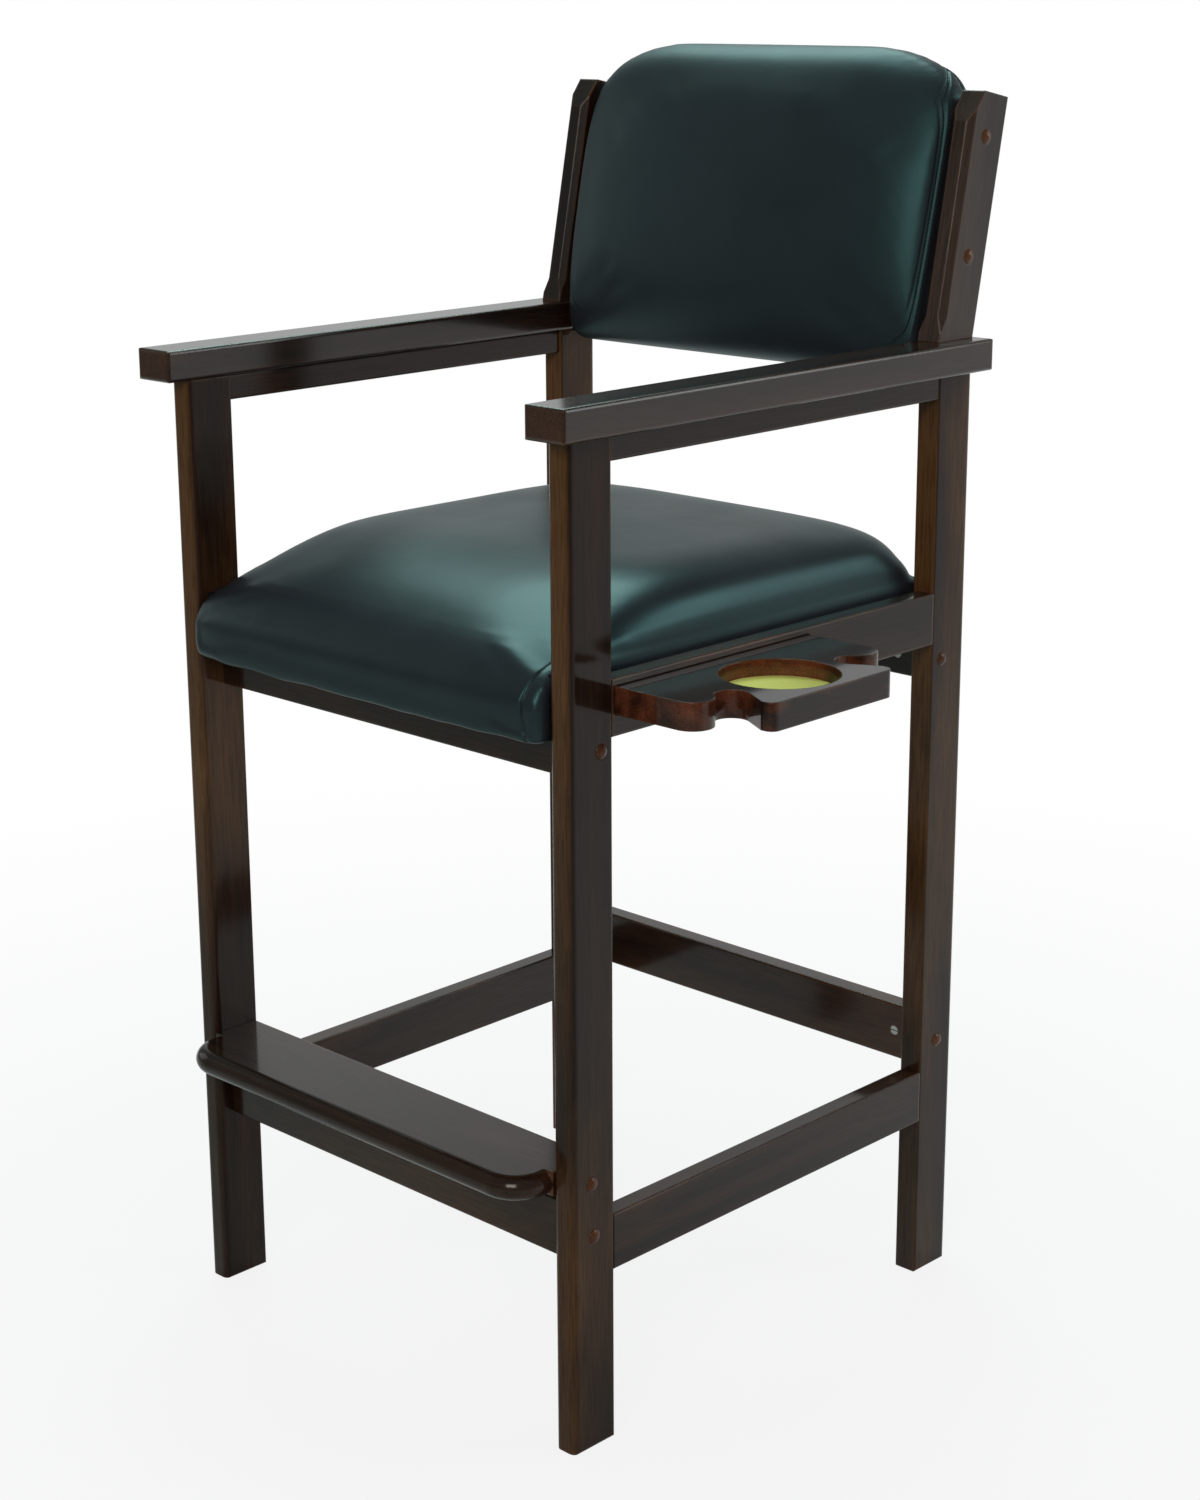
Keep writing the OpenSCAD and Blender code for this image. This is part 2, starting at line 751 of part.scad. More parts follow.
module seat_cushion() {
    inner = [for (i = [0:seat_steps]) seat_inner(i)];
    rows = [for (j = [0:seat_rings])
        let (u = ring(j, seat_rings), k = swell(u, 0.45, 7, 0.42))
        [for (i = [0:seat_steps])
            let (a = inner[i], b = seat_outer(i))
            [seat_half * u, a[0] + (b[0] - a[0]) * k, a[1] + (b[1] - a[1]) * k]]];
    color("#15181a")
        skin(rows, [for (a = inner) [-seat_half, a[0], a[1]]],
            [for (a = inner) [seat_half, a[0], a[1]]]);
}

back_rings = 28;
back_steps = 34;
back_turn = 7;

// Inner line of the back cushion: in over the board's top edge, down its
// front face and out under its lower edge
function back_inner(i) = i <= back_turn
    ? [board_back - back_board_t * i / back_turn, board_high]
    : i < back_steps - back_turn
    ? [back_board_set, board_high + (board_low - board_high)
        * (i - back_turn) / (back_steps - 2 * back_turn)]
    : [board_back - back_board_t * (back_steps - i) / back_turn, board_low];

// Outer line of the back cushion over its middle, a full soft curve
function back_outer(i) =
    let (
        a = 180 * i / back_steps,
        mid = (back_top + back_low) / 2,
        half = (back_top - back_low) / 2,
        c = cos(a)
    )
    [board_back - (board_back + back_bulge) * pow(sin(a), 0.61),
     mid + half * sign(c) * pow(abs(c), 0.736)];

// Drop of a rounded corner of width a and height b at a place across the back
function corner_drop(x, a, b) = abs(x) <= cushion_half - a ? 0
    : b * (1 - sqrt(max(0, 1 - pow((abs(x) - cushion_half) / a + 1, 2))));

module back_cushion() {
    inner = [for (i = [0:back_steps]) back_inner(i)];
    rows = [for (j = [0:back_rings])
        let (
            u = ring(j, back_rings),
            x = cushion_half * u,
            k = swell(u, 0.52, 2.2, 0.52),
            top = (back_top - corner_drop(x, back_arch, back_corner) - board_high)
                / (back_top - board_high),
            low = (board_low - back_low - corner_drop(x, 6, 6)) / (board_low - back_low)
        )
        [for (i = [0:back_steps])
            let (a = inner[i], b = back_outer(i), ds = b[1] - a[1])
            [x, a[0] + (b[0] - a[0]) * k,
             a[1] + ds * (ds > 0 && b[1] > board_high ? top : ds < 0 && b[1] < board_low ? low : 1)]]];
    color("#15181a") back_frame()
        skin(rows, [for (a = inner) [-cushion_half, a[0], a[1]]],
            [for (a = inner) [cushion_half, a[0], a[1]]]);
}

// Board inside the back. Its wider middle meets the posts, where the bolts
// go in.
module back_board() {
    color("#b99a6b") back_frame() difference() {
        union() {
            translate([-board_half, back_board_set, board_low])
                cube([2 * board_half, back_board_t, board_high - board_low]);
            translate([-x_in, back_board_set, back_bolt_low - 17])
                cube([2 * x_in, back_board_t, back_bolt_high - back_bolt_low + 34]);
        }
        for (s = [back_bolt_low, back_bolt_high]) both_sides() {
            rod_x(x_in - 15.5, post_mid, s, 5 + fit_gap, 15.5 + over);
            rod_x(tip_x - 3, post_mid, s, hole_r, bolt_len);
        }
    }
}

// Thin padded panel that closes the rear of the back
module back_cover() {
    w = 2 * (cushion_half - 1);
    h = back_top - back_low - 20;
    color("#1b1f21") back_frame()
        translate([-w / 2, board_back + cover_t, back_low + 6]) rotate([90, 0, 0])
            linear_extrude(cover_t) round_rect(w, h, 10, back_corner);
}

// Holder and what it runs in

// Half of the holder's end beyond the lobes, up to the notch's ramp
module holder_half() {
    c = [notch_e, notch_v];
    q = [ramp_e, end_v];
    a = atan2(q[1] - c[1], q[0] - c[0]) - acos(notch_r / norm(q - c));
    polygon([
        [lobe_e - 20, 0], [lobe_e - 20, lobe_v], [lobe_e, lobe_v], c,
        c + notch_r * [cos(a), sin(a)], q, [holder_out - end_r, end_v],
        [holder_out - end_r, 0]
    ]);
    translate([lobe_e, lobe_v]) circle(r = lobe_r);
    translate([holder_out - end_r, end_v - end_r]) circle(r = end_r);
}

// Plan of the holder board: E is the distance past the rail, V is the
// distance from its middle
module holder_outline() {
    difference() {
        union() {
            translate([-holder_inside, -holder_w / 2])
                square([holder_inside + lobe_e, holder_w]);
            holder_half();
            mirror([0, 1]) holder_half();
            translate([lobe_e, -end_v + end_r])
                square([holder_out - lobe_e, 2 * (end_v - end_r)]);
        }
        for (s = [-1, 1]) translate([notch_e, s * notch_v]) circle(r = notch_r);
    }
}

stop_screw_y = [holder_mid - 70, holder_mid + 70];

module holder_board() {
    color("#3a211a") difference() {
        translate([x_out, holder_mid, holder_z]) linear_extrude(holder_t)
            holder_outline();
        rod_z(x_out + cup_e, holder_mid, holder_top - cup_depth, cup_r, cup_depth + over);
        for (y = stop_screw_y)
            rod_z(stop_bar_end - stop_w / 2, y, holder_z - over, screw_r + thread_gap, 15 + over);
    }
}

module cup_pad() {
    color("#c8cd62")
        rod_z(x_out + cup_e, holder_mid, holder_top - cup_depth, cup_r - 0.5, pad_t);
}

// Bar under the board that meets the rail when the holder is fully out
module stop_bar() {
    color("#a98a5c") difference() {
        translate([stop_bar_end - stop_w, holder_mid - stop_half, holder_z - stop_h])
            cube([stop_w, 2 * stop_half, stop_h]);
        for (y = stop_screw_y) {
            rod_z(stop_bar_end - stop_w / 2, y, holder_z - stop_h - over, screw_head_r + 0.2,
                screw_head_t + 0.5 + over);
            rod_z(stop_bar_end - stop_w / 2, y, holder_z - stop_h, screw_r + 0.2, stop_h + over);
        }
    }
}

// Screw standing up from a head whose underside is at z
module screw_up(x, y, z, length) {
    difference() {
        union() {
            rod_z(x, y, z, screw_head_r, screw_head_t);
            rod_z(x, y, z, screw_r, length);
        }
        for (a = [0, 90]) translate([x, y, z]) rotate([0, 0, a])
            cube([4, 0.8, 2.4], center = true);
    }
}

module stop_bar_screws() {
    color("#8d8d90") for (y = stop_screw_y)
        screw_up(stop_bar_end - stop_w / 2, y, holder_z - stop_h + 0.5, stop_h + 13);
}

// Screws that hold the runners and the stop block up to the base board
runner_screw_in = 4;
runner_screw_spots = concat(
    [for (x = runner_screw_x) [x, holder_front - slide_gap - runner_wall + runner_screw_in]],
    [for (x = runner_screw_x)
        [x, holder_front + holder_w + slide_gap + runner_wall - runner_screw_in]],
    [for (y = [-25, 25]) [runner_x + stop_block_w / 2, holder_mid + y]]
);
runner_screw_z = lip_low + 1;
block_low = holder_z + 1;

module runner_holes() {
    for (x = runner_screw_x) {
        y = holder_front - slide_gap - runner_wall + runner_screw_in;
        rod_z(x, y, lip_low - over, screw_head_r + 0.2, 1 + screw_head_t + 0.2 + over);
        rod_z(x, y, lip_low, screw_r + 0.2, base_z - lip_low + over);
    }
}

// Runner: an L that guides the edge of the board and carries it
module runner() {
    difference() {
        translate([runner_x, holder_front - slide_gap - runner_wall, 0])
            rotate([90, 0, 90]) linear_extrude(runner_end - runner_x)
                polygon([
                    [0, lip_low], [runner_wall + runner_lip, lip_low],
                    [runner_wall + runner_lip, lip_top], [runner_wall, lip_top],
                    [runner_wall, base_z], [0, base_z]
                ]);
        runner_holes();
    }
}

module runner_front() color("#a98a5c") runner();
module runner_rear() {
    color("#a98a5c") translate([0, 2 * holder_mid, 0]) mirror([0, 1, 0]) runner();
}

// Block that stops the holder when it is fully in
module stop_block() {
    color("#a98a5c") difference() {
        translate([runner_x, holder_mid - 40, block_low])
            cube([stop_block_w, 80, base_z - block_low]);
        for (y = [-25, 25]) {
            rod_z(runner_x + stop_block_w / 2, holder_mid + y, block_low - over,
                screw_head_r + 0.2, 1 + screw_head_t + 0.2 + over);
            rod_z(runner_x + stop_block_w / 2, holder_mid + y, block_low,
                screw_r + 0.2, base_z);
        }
    }
}

module runner_screws() {
    color("#8d8d90") for (i = [0:len(runner_screw_spots) - 1]) {
        p = runner_screw_spots[i];
        z = i < 6 ? runner_screw_z : block_low + 1;
        screw_up(p[0], p[1], z, base_top - 2 - z);
    }
}

// Fasteners

// Frame bolt along X with its head at seat_x and its tip inside the rail
module bolt(y, z) {
    difference() {
        union() {
            rod_x(tip_x, y, z, bolt_r, bolt_len);
            rod_x(seat_x, y, z, head_r, head_t);
        }
        translate([seat_x + head_t - 2, y, z]) rotate([0, 90, 0])
            cylinder(d = 4.6, h = 2 + over, $fn = 6);
    }
}

module frame_bolts() {
    color("#8d8d90") both_sides()
        for (b = concat(front_bolts, rear_bolts)) bolt(b[0], b[1]);
}

// Barrel nut hanging down from its open end at the origin, with the cross
// hole at the given depth and a driver slot
module barrel_nut(length, depth) {
    difference() {
        translate([0, 0, -length]) cylinder(r = nut_r, h = length);
        translate([-nut_r - over, 0, -depth]) rotate([0, 90, 0])
            cylinder(r = bolt_r + thread_gap, h = 2 * (nut_r + over));
        translate([-nut_r - over, -0.6, -1.5]) cube([2 * (nut_r + over), 1.2, 1.5 + over]);
    }
}

module barrel_nuts() {
    color("#9a958c") both_sides() {
        for (b = [front_bolts[0], front_bolts[1]])
            translate([nut_x, b[0] + rail_t / 2 - 0.5, b[1]]) rotate([-90, 0, 0])
                barrel_nut(nut_len, rail_t / 2 - 0.5);
        for (b = rear_bolts)
            translate([nut_x, b[0] - rail_t / 2 + 0.5, b[1]]) rotate([90, 0, 0])
                barrel_nut(nut_len, rail_t / 2 - 0.5);
        translate([nut_x, front_bolts[2][0], foot_top - foot_t + 0.5]) rotate([180, 0, 0])
            barrel_nut(foot_nut_len, foot_t / 2 - 0.5);
    }
}

// Domed plug over a bolt head: a stem in the bore and a cap on the wood
module plug(y, z) {
    cap_r = plug_r + 0.25;
    stem = bore_depth - head_t - 0.5;
    ball = (cap_r * cap_r + plug_rise * plug_rise) / (2 * plug_rise);
    translate([x_out - stem, y, z]) rotate([0, 90, 0]) rotate_extrude() {
        square([plug_r, stem + 0.1]);
        intersection() {
            translate([0, stem + plug_rise - ball]) circle(r = ball);
            translate([0, stem]) square([cap_r + over, plug_rise + over]);
        }
    }
}

module leg_plugs() {
    color("#22140f") both_sides()
        for (b = concat(front_bolts, rear_bolts)) plug(b[0], b[1]);
}

module post_plugs() {
    color("#22140f") back_frame() both_sides()
        for (s = [back_bolt_low, back_bolt_high]) plug(post_mid, s);
}

module rail_dowels() {
    color("#c7a878") both_sides()
        for (d = concat(front_dowels, rear_dowels))
            rod_x(x_in - dowel_in_rail, d[0], d[1], dowel_r, dowel_in_rail + dowel_in_leg);
}

module arm_dowels() {
    color("#c7a878") both_sides()
        rod_z(x_in + leg_w / 2, arm_dowel_front, leg_h - arm_dowel_deep, arm_dowel_r,
            arm_dowel_deep + arm_dowel_up);
}

// Long dowels that pass up through the arm into the back post
module post_dowels() {
    color("#c7a878") both_sides() for (y = post_dowels_y)
        rod_z(x_in + leg_w / 2, y, leg_h - arm_dowel_deep, arm_dowel_r,
            arm_t + 2 * arm_dowel_deep);
}

module arm_screws() {
    color("#8d8d90") both_sides() for (y = arm_screw_y)
        screw_up(x_out - arm_rail_set - rail_t / 2, y, leg_h - arm_rail_h + 8 - screw_head_t,
            arm_rail_h - 8 + screw_head_t + 18);
}

module seat_screws() {
    color("#8d8d90") for (x = seat_screw_x, y = [seat_front_mid, seat_screw_rear])
        screw_up(x, y, seat_screw_low - over - screw_head_t,
            seat_screw_top - seat_screw_low + over + screw_head_t);
}

module back_bolts() {
    color("#8d8d90") back_frame() both_sides()
        for (s = [back_bolt_low, back_bolt_high]) bolt(post_mid, s);
}

// Threaded inserts in the edges of the back board
module back_inserts() {
    color("#b08d4c") back_frame() both_sides()
        for (s = [back_bolt_low, back_bolt_high]) difference() {
            rod_x(x_in - 15.2, post_mid, s, 5, 15);
            rod_x(x_in - 17, post_mid, s, bolt_r + thread_gap, 20);
        }
}

front_leg_left();
front_leg_right();
rear_leg_left();
rear_leg_right();
arm_left();
arm_right();
arm_rail_left();
arm_rail_right();
seat_rail_left();
seat_rail_right();
seat_rail_front();
seat_rail_rear();
low_rail_left();
low_rail_right();
low_rail_front();
low_rail_rear();
footrest();
back_post_left();
back_post_right();
seat_base();
seat_apron();
seat_batten_front();
seat_batten_rear();
seat_cushion();
back_board();
back_cushion();
back_cover();
runner_front();
runner_rear();
stop_block();
holder_board();
cup_pad();
stop_bar();
stop_bar_screws();
frame_bolts();
barrel_nuts();
leg_plugs();
rail_dowels();
arm_dowels();
post_dowels();
arm_screws();
seat_screws();
runner_screws();
back_bolts();
back_inserts();
post_plugs();
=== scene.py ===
# %% [markdown]
# # A spectator chair, dressed for its picture
#
# The chair is already solid: wood, bolts and runners come from the CAD model
# and stay exactly where they are. What is left for this file is what the eye
# reads first, the stained wood, the black vinyl and the soft swell of the two
# cushions. We load the solids, set up a small photo studio, mix the finishes,
# and then upholster the chair piece by piece.

import math

import bmesh
import bpy
from mathutils import Matrix, Vector, noise
from mathutils.bvhtree import BVHTree


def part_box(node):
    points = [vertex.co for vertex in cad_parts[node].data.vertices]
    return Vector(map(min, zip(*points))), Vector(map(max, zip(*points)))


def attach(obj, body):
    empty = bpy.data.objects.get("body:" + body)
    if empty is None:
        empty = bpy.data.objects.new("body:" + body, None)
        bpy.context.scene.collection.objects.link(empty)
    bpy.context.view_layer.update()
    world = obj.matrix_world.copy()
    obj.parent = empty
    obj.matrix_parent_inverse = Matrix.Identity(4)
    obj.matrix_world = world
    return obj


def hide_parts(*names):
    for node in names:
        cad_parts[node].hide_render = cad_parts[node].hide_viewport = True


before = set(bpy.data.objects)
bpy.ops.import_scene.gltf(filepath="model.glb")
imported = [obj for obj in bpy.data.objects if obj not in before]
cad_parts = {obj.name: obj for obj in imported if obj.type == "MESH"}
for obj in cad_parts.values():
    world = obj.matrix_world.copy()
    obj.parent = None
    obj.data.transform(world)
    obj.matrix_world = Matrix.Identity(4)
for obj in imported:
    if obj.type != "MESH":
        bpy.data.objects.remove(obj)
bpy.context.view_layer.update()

# %% [markdown]
# ## The camera
#
# The picture was taken from just above the height of the chair's back, off its
# front corner. We could place a camera by eye, but fitting one to the chair's
# known edges gives its place, its turn and its lens in one go. A small shift
# of the lens stands in for the photographer's cropping.

# %% Camera
MM = 0.001
PHOTO_TALL, FOCAL_PIXELS, SENSOR = 1500, 2706.3, 36.0
CAMERA_AT = (1.8577, -1.8918, 1.3375)
TURNED, LOOKING_DOWN, ROLLED = 44.614, 15.415, -0.444


def in_scene(name, data):
    """Makes an object from its data and links it into the scene."""
    made = bpy.data.objects.new(name, data)
    bpy.context.scene.collection.objects.link(made)
    return made


lens = bpy.data.cameras.new("photo_camera")
lens.sensor_width = SENSOR
lens.lens = FOCAL_PIXELS * SENSOR / PHOTO_TALL
lens.shift_x = 0.02
lens.shift_y = -0.02
camera = in_scene("photo_camera", lens)
camera.matrix_world = (
    Matrix.Translation(CAMERA_AT)
    @ Matrix.Rotation(math.radians(TURNED), 4, "Z")
    @ Matrix.Rotation(math.radians(90 - LOOKING_DOWN), 4, "X")
    @ Matrix.Rotation(math.radians(ROLLED), 4, "Z")
)
bpy.context.scene.camera = camera
print("lens:", round(lens.lens, 1), "mm")

# %% [markdown]
# ## A plain white studio
#
# Black vinyl shows its shape only through what it reflects. A surrounding
# picture would light it evenly and give us nothing to steer, so the lamps are
# large soft squares: one overhead, one at the front to open up the legs, a
# faint one at the far left and one behind on the right, which draws the pale
# line along the top of the back. Node trees come up again and again below, so
# a few helpers come first: each adds one node and hands back its output.

# %% Nodes helper
def node_in(tree, kind, **settings):
    """Adds a shader node and sets its plain properties."""
    made = tree.nodes.new(kind)
    for key, value in settings.items():
        setattr(made, key, value)
    return made


def feed(tree, given, socket):
    """Links another node's output into a socket, or writes a value there."""
    if isinstance(given, bpy.types.NodeSocket):
        tree.links.new(given, socket)
    else:
        socket.default_value = given


def wire(tree, *pairs):
    """Links each (output, input) pair of sockets."""
    for start, end in pairs:
        tree.links.new(start, end)


def math_out(tree, operation, *given, clamp=False):
    """The output of a Math node, fed in order."""
    made = node_in(tree, "ShaderNodeMath", operation=operation, use_clamp=clamp)
    for value, socket in zip(given, made.inputs):
        feed(tree, value, socket)
    return made.outputs[0]


def span_out(tree, given, low, high, to_low=0.0, to_high=1.0):
    """A Map Range node's output: low..high becomes to_low..to_high."""
    made = node_in(tree, "ShaderNodeMapRange")
    ends = {"Value": given, "From Min": low, "From Max": high,
            "To Min": to_low, "To Max": to_high}
    for name, value in ends.items():
        feed(tree, value, made.inputs[name])
    return made.outputs[0]


def parts_of(tree, vector):
    """The X, Y and Z outputs of a vector socket."""
    split = node_in(tree, "ShaderNodeSeparateXYZ")
    feed(tree, vector, split.inputs[0])
    return split.outputs


print("helpers for nodes are ready")

# %% Lamps
def soft_lamp(name, place, aim, size, watts, colour=(1, 1, 1)):
    """A square area lamp at a place, turned to face a point."""
    data = bpy.data.lights.new(name, "AREA")
    data.shape = "SQUARE"
    data.size = size
    data.energy = watts
    data.color = colour
    lamp = in_scene(name, data)
    lamp.location = place
    turn = (Vector(aim) - Vector(place)).to_track_quat("-Z", "Y")
    lamp.rotation_euler = turn.to_euler()


soft_lamp("overhead", (-1.35, 1.2, 3.45), (0, 0, 0.8), 1.9, 54, (0.75, 1.0, 0.96))
soft_lamp("front_left", (-3.2, -0.9, 1.6), (0, 0, 0.7), 1.6, 5)
soft_lamp("rear_right", (2.4, 2.2, 2.2), (0, 0.1, 0.9), 1.4, 20, (0.92, 1.0, 0.99))
soft_lamp("front", (1.9, -3.2, 2.6), (0, 0, 0.6), 1.6, 50, (1.0, 0.95, 0.88))

# %% [markdown]
# ### The background
#
# A plain white world would light the chair from every side. The Light Path
# node shows the white to the camera alone instead. Shiny surfaces and glass
# see it too, but only on the side where a real studio hangs its paper: behind
# the chair. That keeps the lacquer pale at a low angle and the vinyl dark
# where it faces the room.

# %% World
ROOM_TINT, ROOM_LEVEL = (0.80, 1.0, 0.95, 1), 0.17
PAPER_SHARE = 0.52

scene = bpy.context.scene
scene.view_settings.view_transform = "Standard"
world = bpy.data.worlds.new("studio")
scene.world = world
world.use_nodes = True
tree = world.node_tree
tree.nodes.clear()
rays = node_in(tree, "ShaderNodeLightPath").outputs
way = parts_of(tree, node_in(tree, "ShaderNodeTexCoord").outputs["Generated"])
behind = span_out(tree, way["Y"], 0.30, 0.56, 0.0, PAPER_SHARE)
low_down = span_out(tree, way["Z"], 0.62, 0.40)
mirrored = math_out(tree, "ADD", rays["Is Glossy Ray"], rays["Is Transmission Ray"], clamp=True)
sheet = math_out(tree, "MULTIPLY", behind, low_down)
share = math_out(tree, "MULTIPLY", mirrored, sheet)
room = node_in(tree, "ShaderNodeBackground")
room.inputs["Color"].default_value = ROOM_TINT
room.inputs["Strength"].default_value = ROOM_LEVEL
white = node_in(tree, "ShaderNodeBackground")
white.inputs["Color"].default_value = (1, 1, 1, 1)
pick = node_in(tree, "ShaderNodeMixShader")
out = node_in(tree, "ShaderNodeOutputWorld")
wire(tree, (math_out(tree, "MAXIMUM", share, rays["Is Camera Ray"]), pick.inputs[0]),
     (room.outputs[0], pick.inputs[1]), (white.outputs[0], pick.inputs[2]),
     (pick.outputs[0], out.inputs["Surface"]))
print("room light:", ROOM_LEVEL, "- paper seen in gloss:", PAPER_SHARE)

# %% [markdown]
# ### The paper on the floor
#
# The floor is pale paper that catches the chair's soft shadow. A plain plane
# would end in a grey edge against the white. So towards the camera this one
# glows more with distance, as paper that is lit for white does. Glossy rays
# see that glow too, again mostly behind the chair.

# %% Floor
FLOOR_HALF = 14.0
SHADOW_SHARE, SHADOW_SPAN = 0.14, (0.35, 1.9)
FLOOR_PAPER_SHARE, REAR_SPAN = 0.58, (-0.7, 0.5)

corners = [(x * FLOOR_HALF, y * FLOOR_HALF, 0) for x, y in ((-1, -1), (1, -1), (1, 1), (-1, 1))]
floor_mesh = bpy.data.meshes.new("floor")
floor_mesh.from_pydata(corners, [], [(0, 1, 2, 3)])
floor = in_scene("floor", floor_mesh)
paper = bpy.data.materials.new("white_paper")
paper.use_nodes = True
tree = paper.node_tree
tree.nodes.clear()
rays = node_in(tree, "ShaderNodeLightPath").outputs
spot = node_in(tree, "ShaderNodeTexCoord").outputs["Object"]
away = node_in(tree, "ShaderNodeVectorMath", operation="LENGTH")
wire(tree, (spot, away.inputs[0]))
fade = span_out(tree, away.outputs["Value"], *SHADOW_SPAN, 1.0 - SHADOW_SHARE, 1.0)
rear = span_out(tree, parts_of(tree, spot)["Y"], *REAR_SPAN, 0.0, FLOOR_PAPER_SHARE)
mirrored = math_out(tree, "ADD", rays["Is Glossy Ray"], rays["Is Transmission Ray"])
lit = math_out(tree, "MULTIPLY", mirrored, rear)
sight = math_out(tree, "ADD", lit, rays["Is Camera Ray"], clamp=True)
matt = node_in(tree, "ShaderNodeBsdfDiffuse")
matt.inputs["Color"].default_value = (0.62, 0.63, 0.62, 1)
glow = node_in(tree, "ShaderNodeEmission")
glow.inputs["Color"].default_value = (1, 1, 1, 1)
blend = node_in(tree, "ShaderNodeMixShader")
out = node_in(tree, "ShaderNodeOutputMaterial")
wire(tree, (math_out(tree, "MULTIPLY", sight, fade), blend.inputs[0]),
     (matt.outputs[0], blend.inputs[1]), (glow.outputs[0], blend.inputs[2]),
     (blend.outputs[0], out.inputs["Surface"]))
floor_mesh.materials.append(paper)
print("floor:", 2 * FLOOR_HALF, "m across")

# %% [markdown]
# ## Building blocks for the finishes
#
# Every finish below is made of the same few nodes: noise for a pattern, a
# ramp for its two tones, a mix to lay one colour over another and a bump for
# relief. Each helper adds one of them and hands back its output.

# %% Texture helpers
def new_finish(name):
    """A material, its node tree, its shader's sockets and its coordinates."""
    mat = bpy.data.materials.new(name)
    mat.use_nodes = True
    tree = mat.node_tree
    place = node_in(tree, "ShaderNodeTexCoord").outputs["Object"]
    return mat, tree, tree.nodes["Principled BSDF"].inputs, place


def mapped(tree, place, kind, values):
    """Coordinates after a Mapping node's Rotation or Scale."""
    made = node_in(tree, "ShaderNodeMapping")
    feed(tree, place, made.inputs["Vector"])
    feed(tree, values, made.inputs[kind])
    return made.outputs[0]


def noise_out(tree, place, scale, detail, distortion=0.0):
    """The level of a Noise texture."""
    made = node_in(tree, "ShaderNodeTexNoise")
    ends = {"Vector": place, "Scale": scale, "Detail": detail, "Distortion": distortion}
    for name, value in ends.items():
        feed(tree, value, made.inputs[name])
    return made.outputs["Fac"]


def two_tones(tree, level, low, high):
    """A colour ramp between two (position, colour) steps."""
    ramp = node_in(tree, "ShaderNodeValToRGB")
    for step, (place, colour) in zip(ramp.color_ramp.elements, (low, high)):
        step.position, step.color = place, (*colour, 1)
    feed(tree, level, ramp.inputs["Fac"])
    return ramp.outputs["Color"]


def mix_out(tree, factor, a, b, how="MIX"):
    """Two colours mixed; each is a socket or an RGBA value."""
    made = node_in(tree, "ShaderNodeMix", data_type="RGBA", blend_type=how)
    for name, value in {"Factor": factor, "A": a, "B": b}.items():
        feed(tree, value, made.inputs[name])
    return made.outputs["Result"]


def bump_out(tree, height, strength, distance, normal=None):
    """A normal raised by a height; distance is in metres."""
    made = node_in(tree, "ShaderNodeBump")
    made.inputs["Strength"].default_value = strength
    made.inputs["Distance"].default_value = distance
    feed(tree, height, made.inputs["Height"])
    if normal is not None:
        feed(tree, normal, made.inputs["Normal"])
    return made.outputs[0]


def bevel_out(tree, radius):
    """The normal, rounded near edges."""
    made = node_in(tree, "ShaderNodeBevel", samples=4)
    made.inputs["Radius"].default_value = radius
    return made.outputs[0]


def true_normal(tree):
    """Which way the surface really faces, before any bevel or bump."""
    return node_in(tree, "ShaderNodeNewGeometry").outputs["Normal"]


print("helpers for textures are ready")

# %% [markdown]
# ## Stained wood
#
# The frame is a pale hardwood under an espresso stain and a satin lacquer.
# Stain sits deeper in the pores, so the grain reads as thin dark lines that
# run along each board, and where a hand rubs an edge the stain wears back to
# red brown. Pictures of wood would show seams and repeats; noise stretched
# along the board does not, so every direction of board gets its own copy of
# the material. The Bevel node finds edges: it rounds the normal near them, and
# where the rounded normal differs from the true one there is an edge to wear.

# %% Where wood wears, and which way a face looks
def worn_edge(tree, place, radius=0.0045, slight=0.015, full=0.13):
    """0 on flat faces, rising to 1 on edges, broken up by noise."""
    same = node_in(tree, "ShaderNodeVectorMath", operation="DOT_PRODUCT")
    wire(tree, (bevel_out(tree, radius), same.inputs[0]), (true_normal(tree), same.inputs[1]))
    edge = span_out(tree, same.outputs["Value"], 1.0 - slight, 1.0 - full)
    broken = span_out(tree, noise_out(tree, place, 9.0, 6.0), 0.42, 0.68)
    return math_out(tree, "MULTIPLY", edge, broken)


# Picked only by the way a face looks and by its height.
def forward_faces_high(tree, place, amount):
    """Rises on faces that look forward, from knee height up."""
    ahead = span_out(tree, parts_of(tree, true_normal(tree))["Y"], -0.5, -0.95)
    high = span_out(tree, parts_of(tree, place)["Z"], 0.35, 0.75, 0.15 * amount, amount)
    return math_out(tree, "MULTIPLY", ahead, high)


def sideways(tree):
    """1 on upright faces, 0 on level ones."""
    up = parts_of(tree, true_normal(tree))["Z"]
    return math_out(tree, "SUBTRACT", 1.0, math_out(tree, "ABSOLUTE", up))


# The fronts here are picked only by the way a face looks and by its height.
print("wear: edges, handled fronts and cut sides")

# %% [markdown]
# ### One recipe for every board
#
# The layers go on in the order a finisher would use: a cloudy stain, a redder
# tone where it lies thin, dark pores over both, and last the rubbed edges. A
# clear coat covers everything, and its own normal is eased near the edges, so
# that even a sawn corner catches a thin line of light.

# %% Wood finish
PORE_DARK = (0.45, 0.42, 0.40)
UNDER_COAT_SPECULAR = 0.06
WARM = (1.0, 0.86, 0.76, 1)


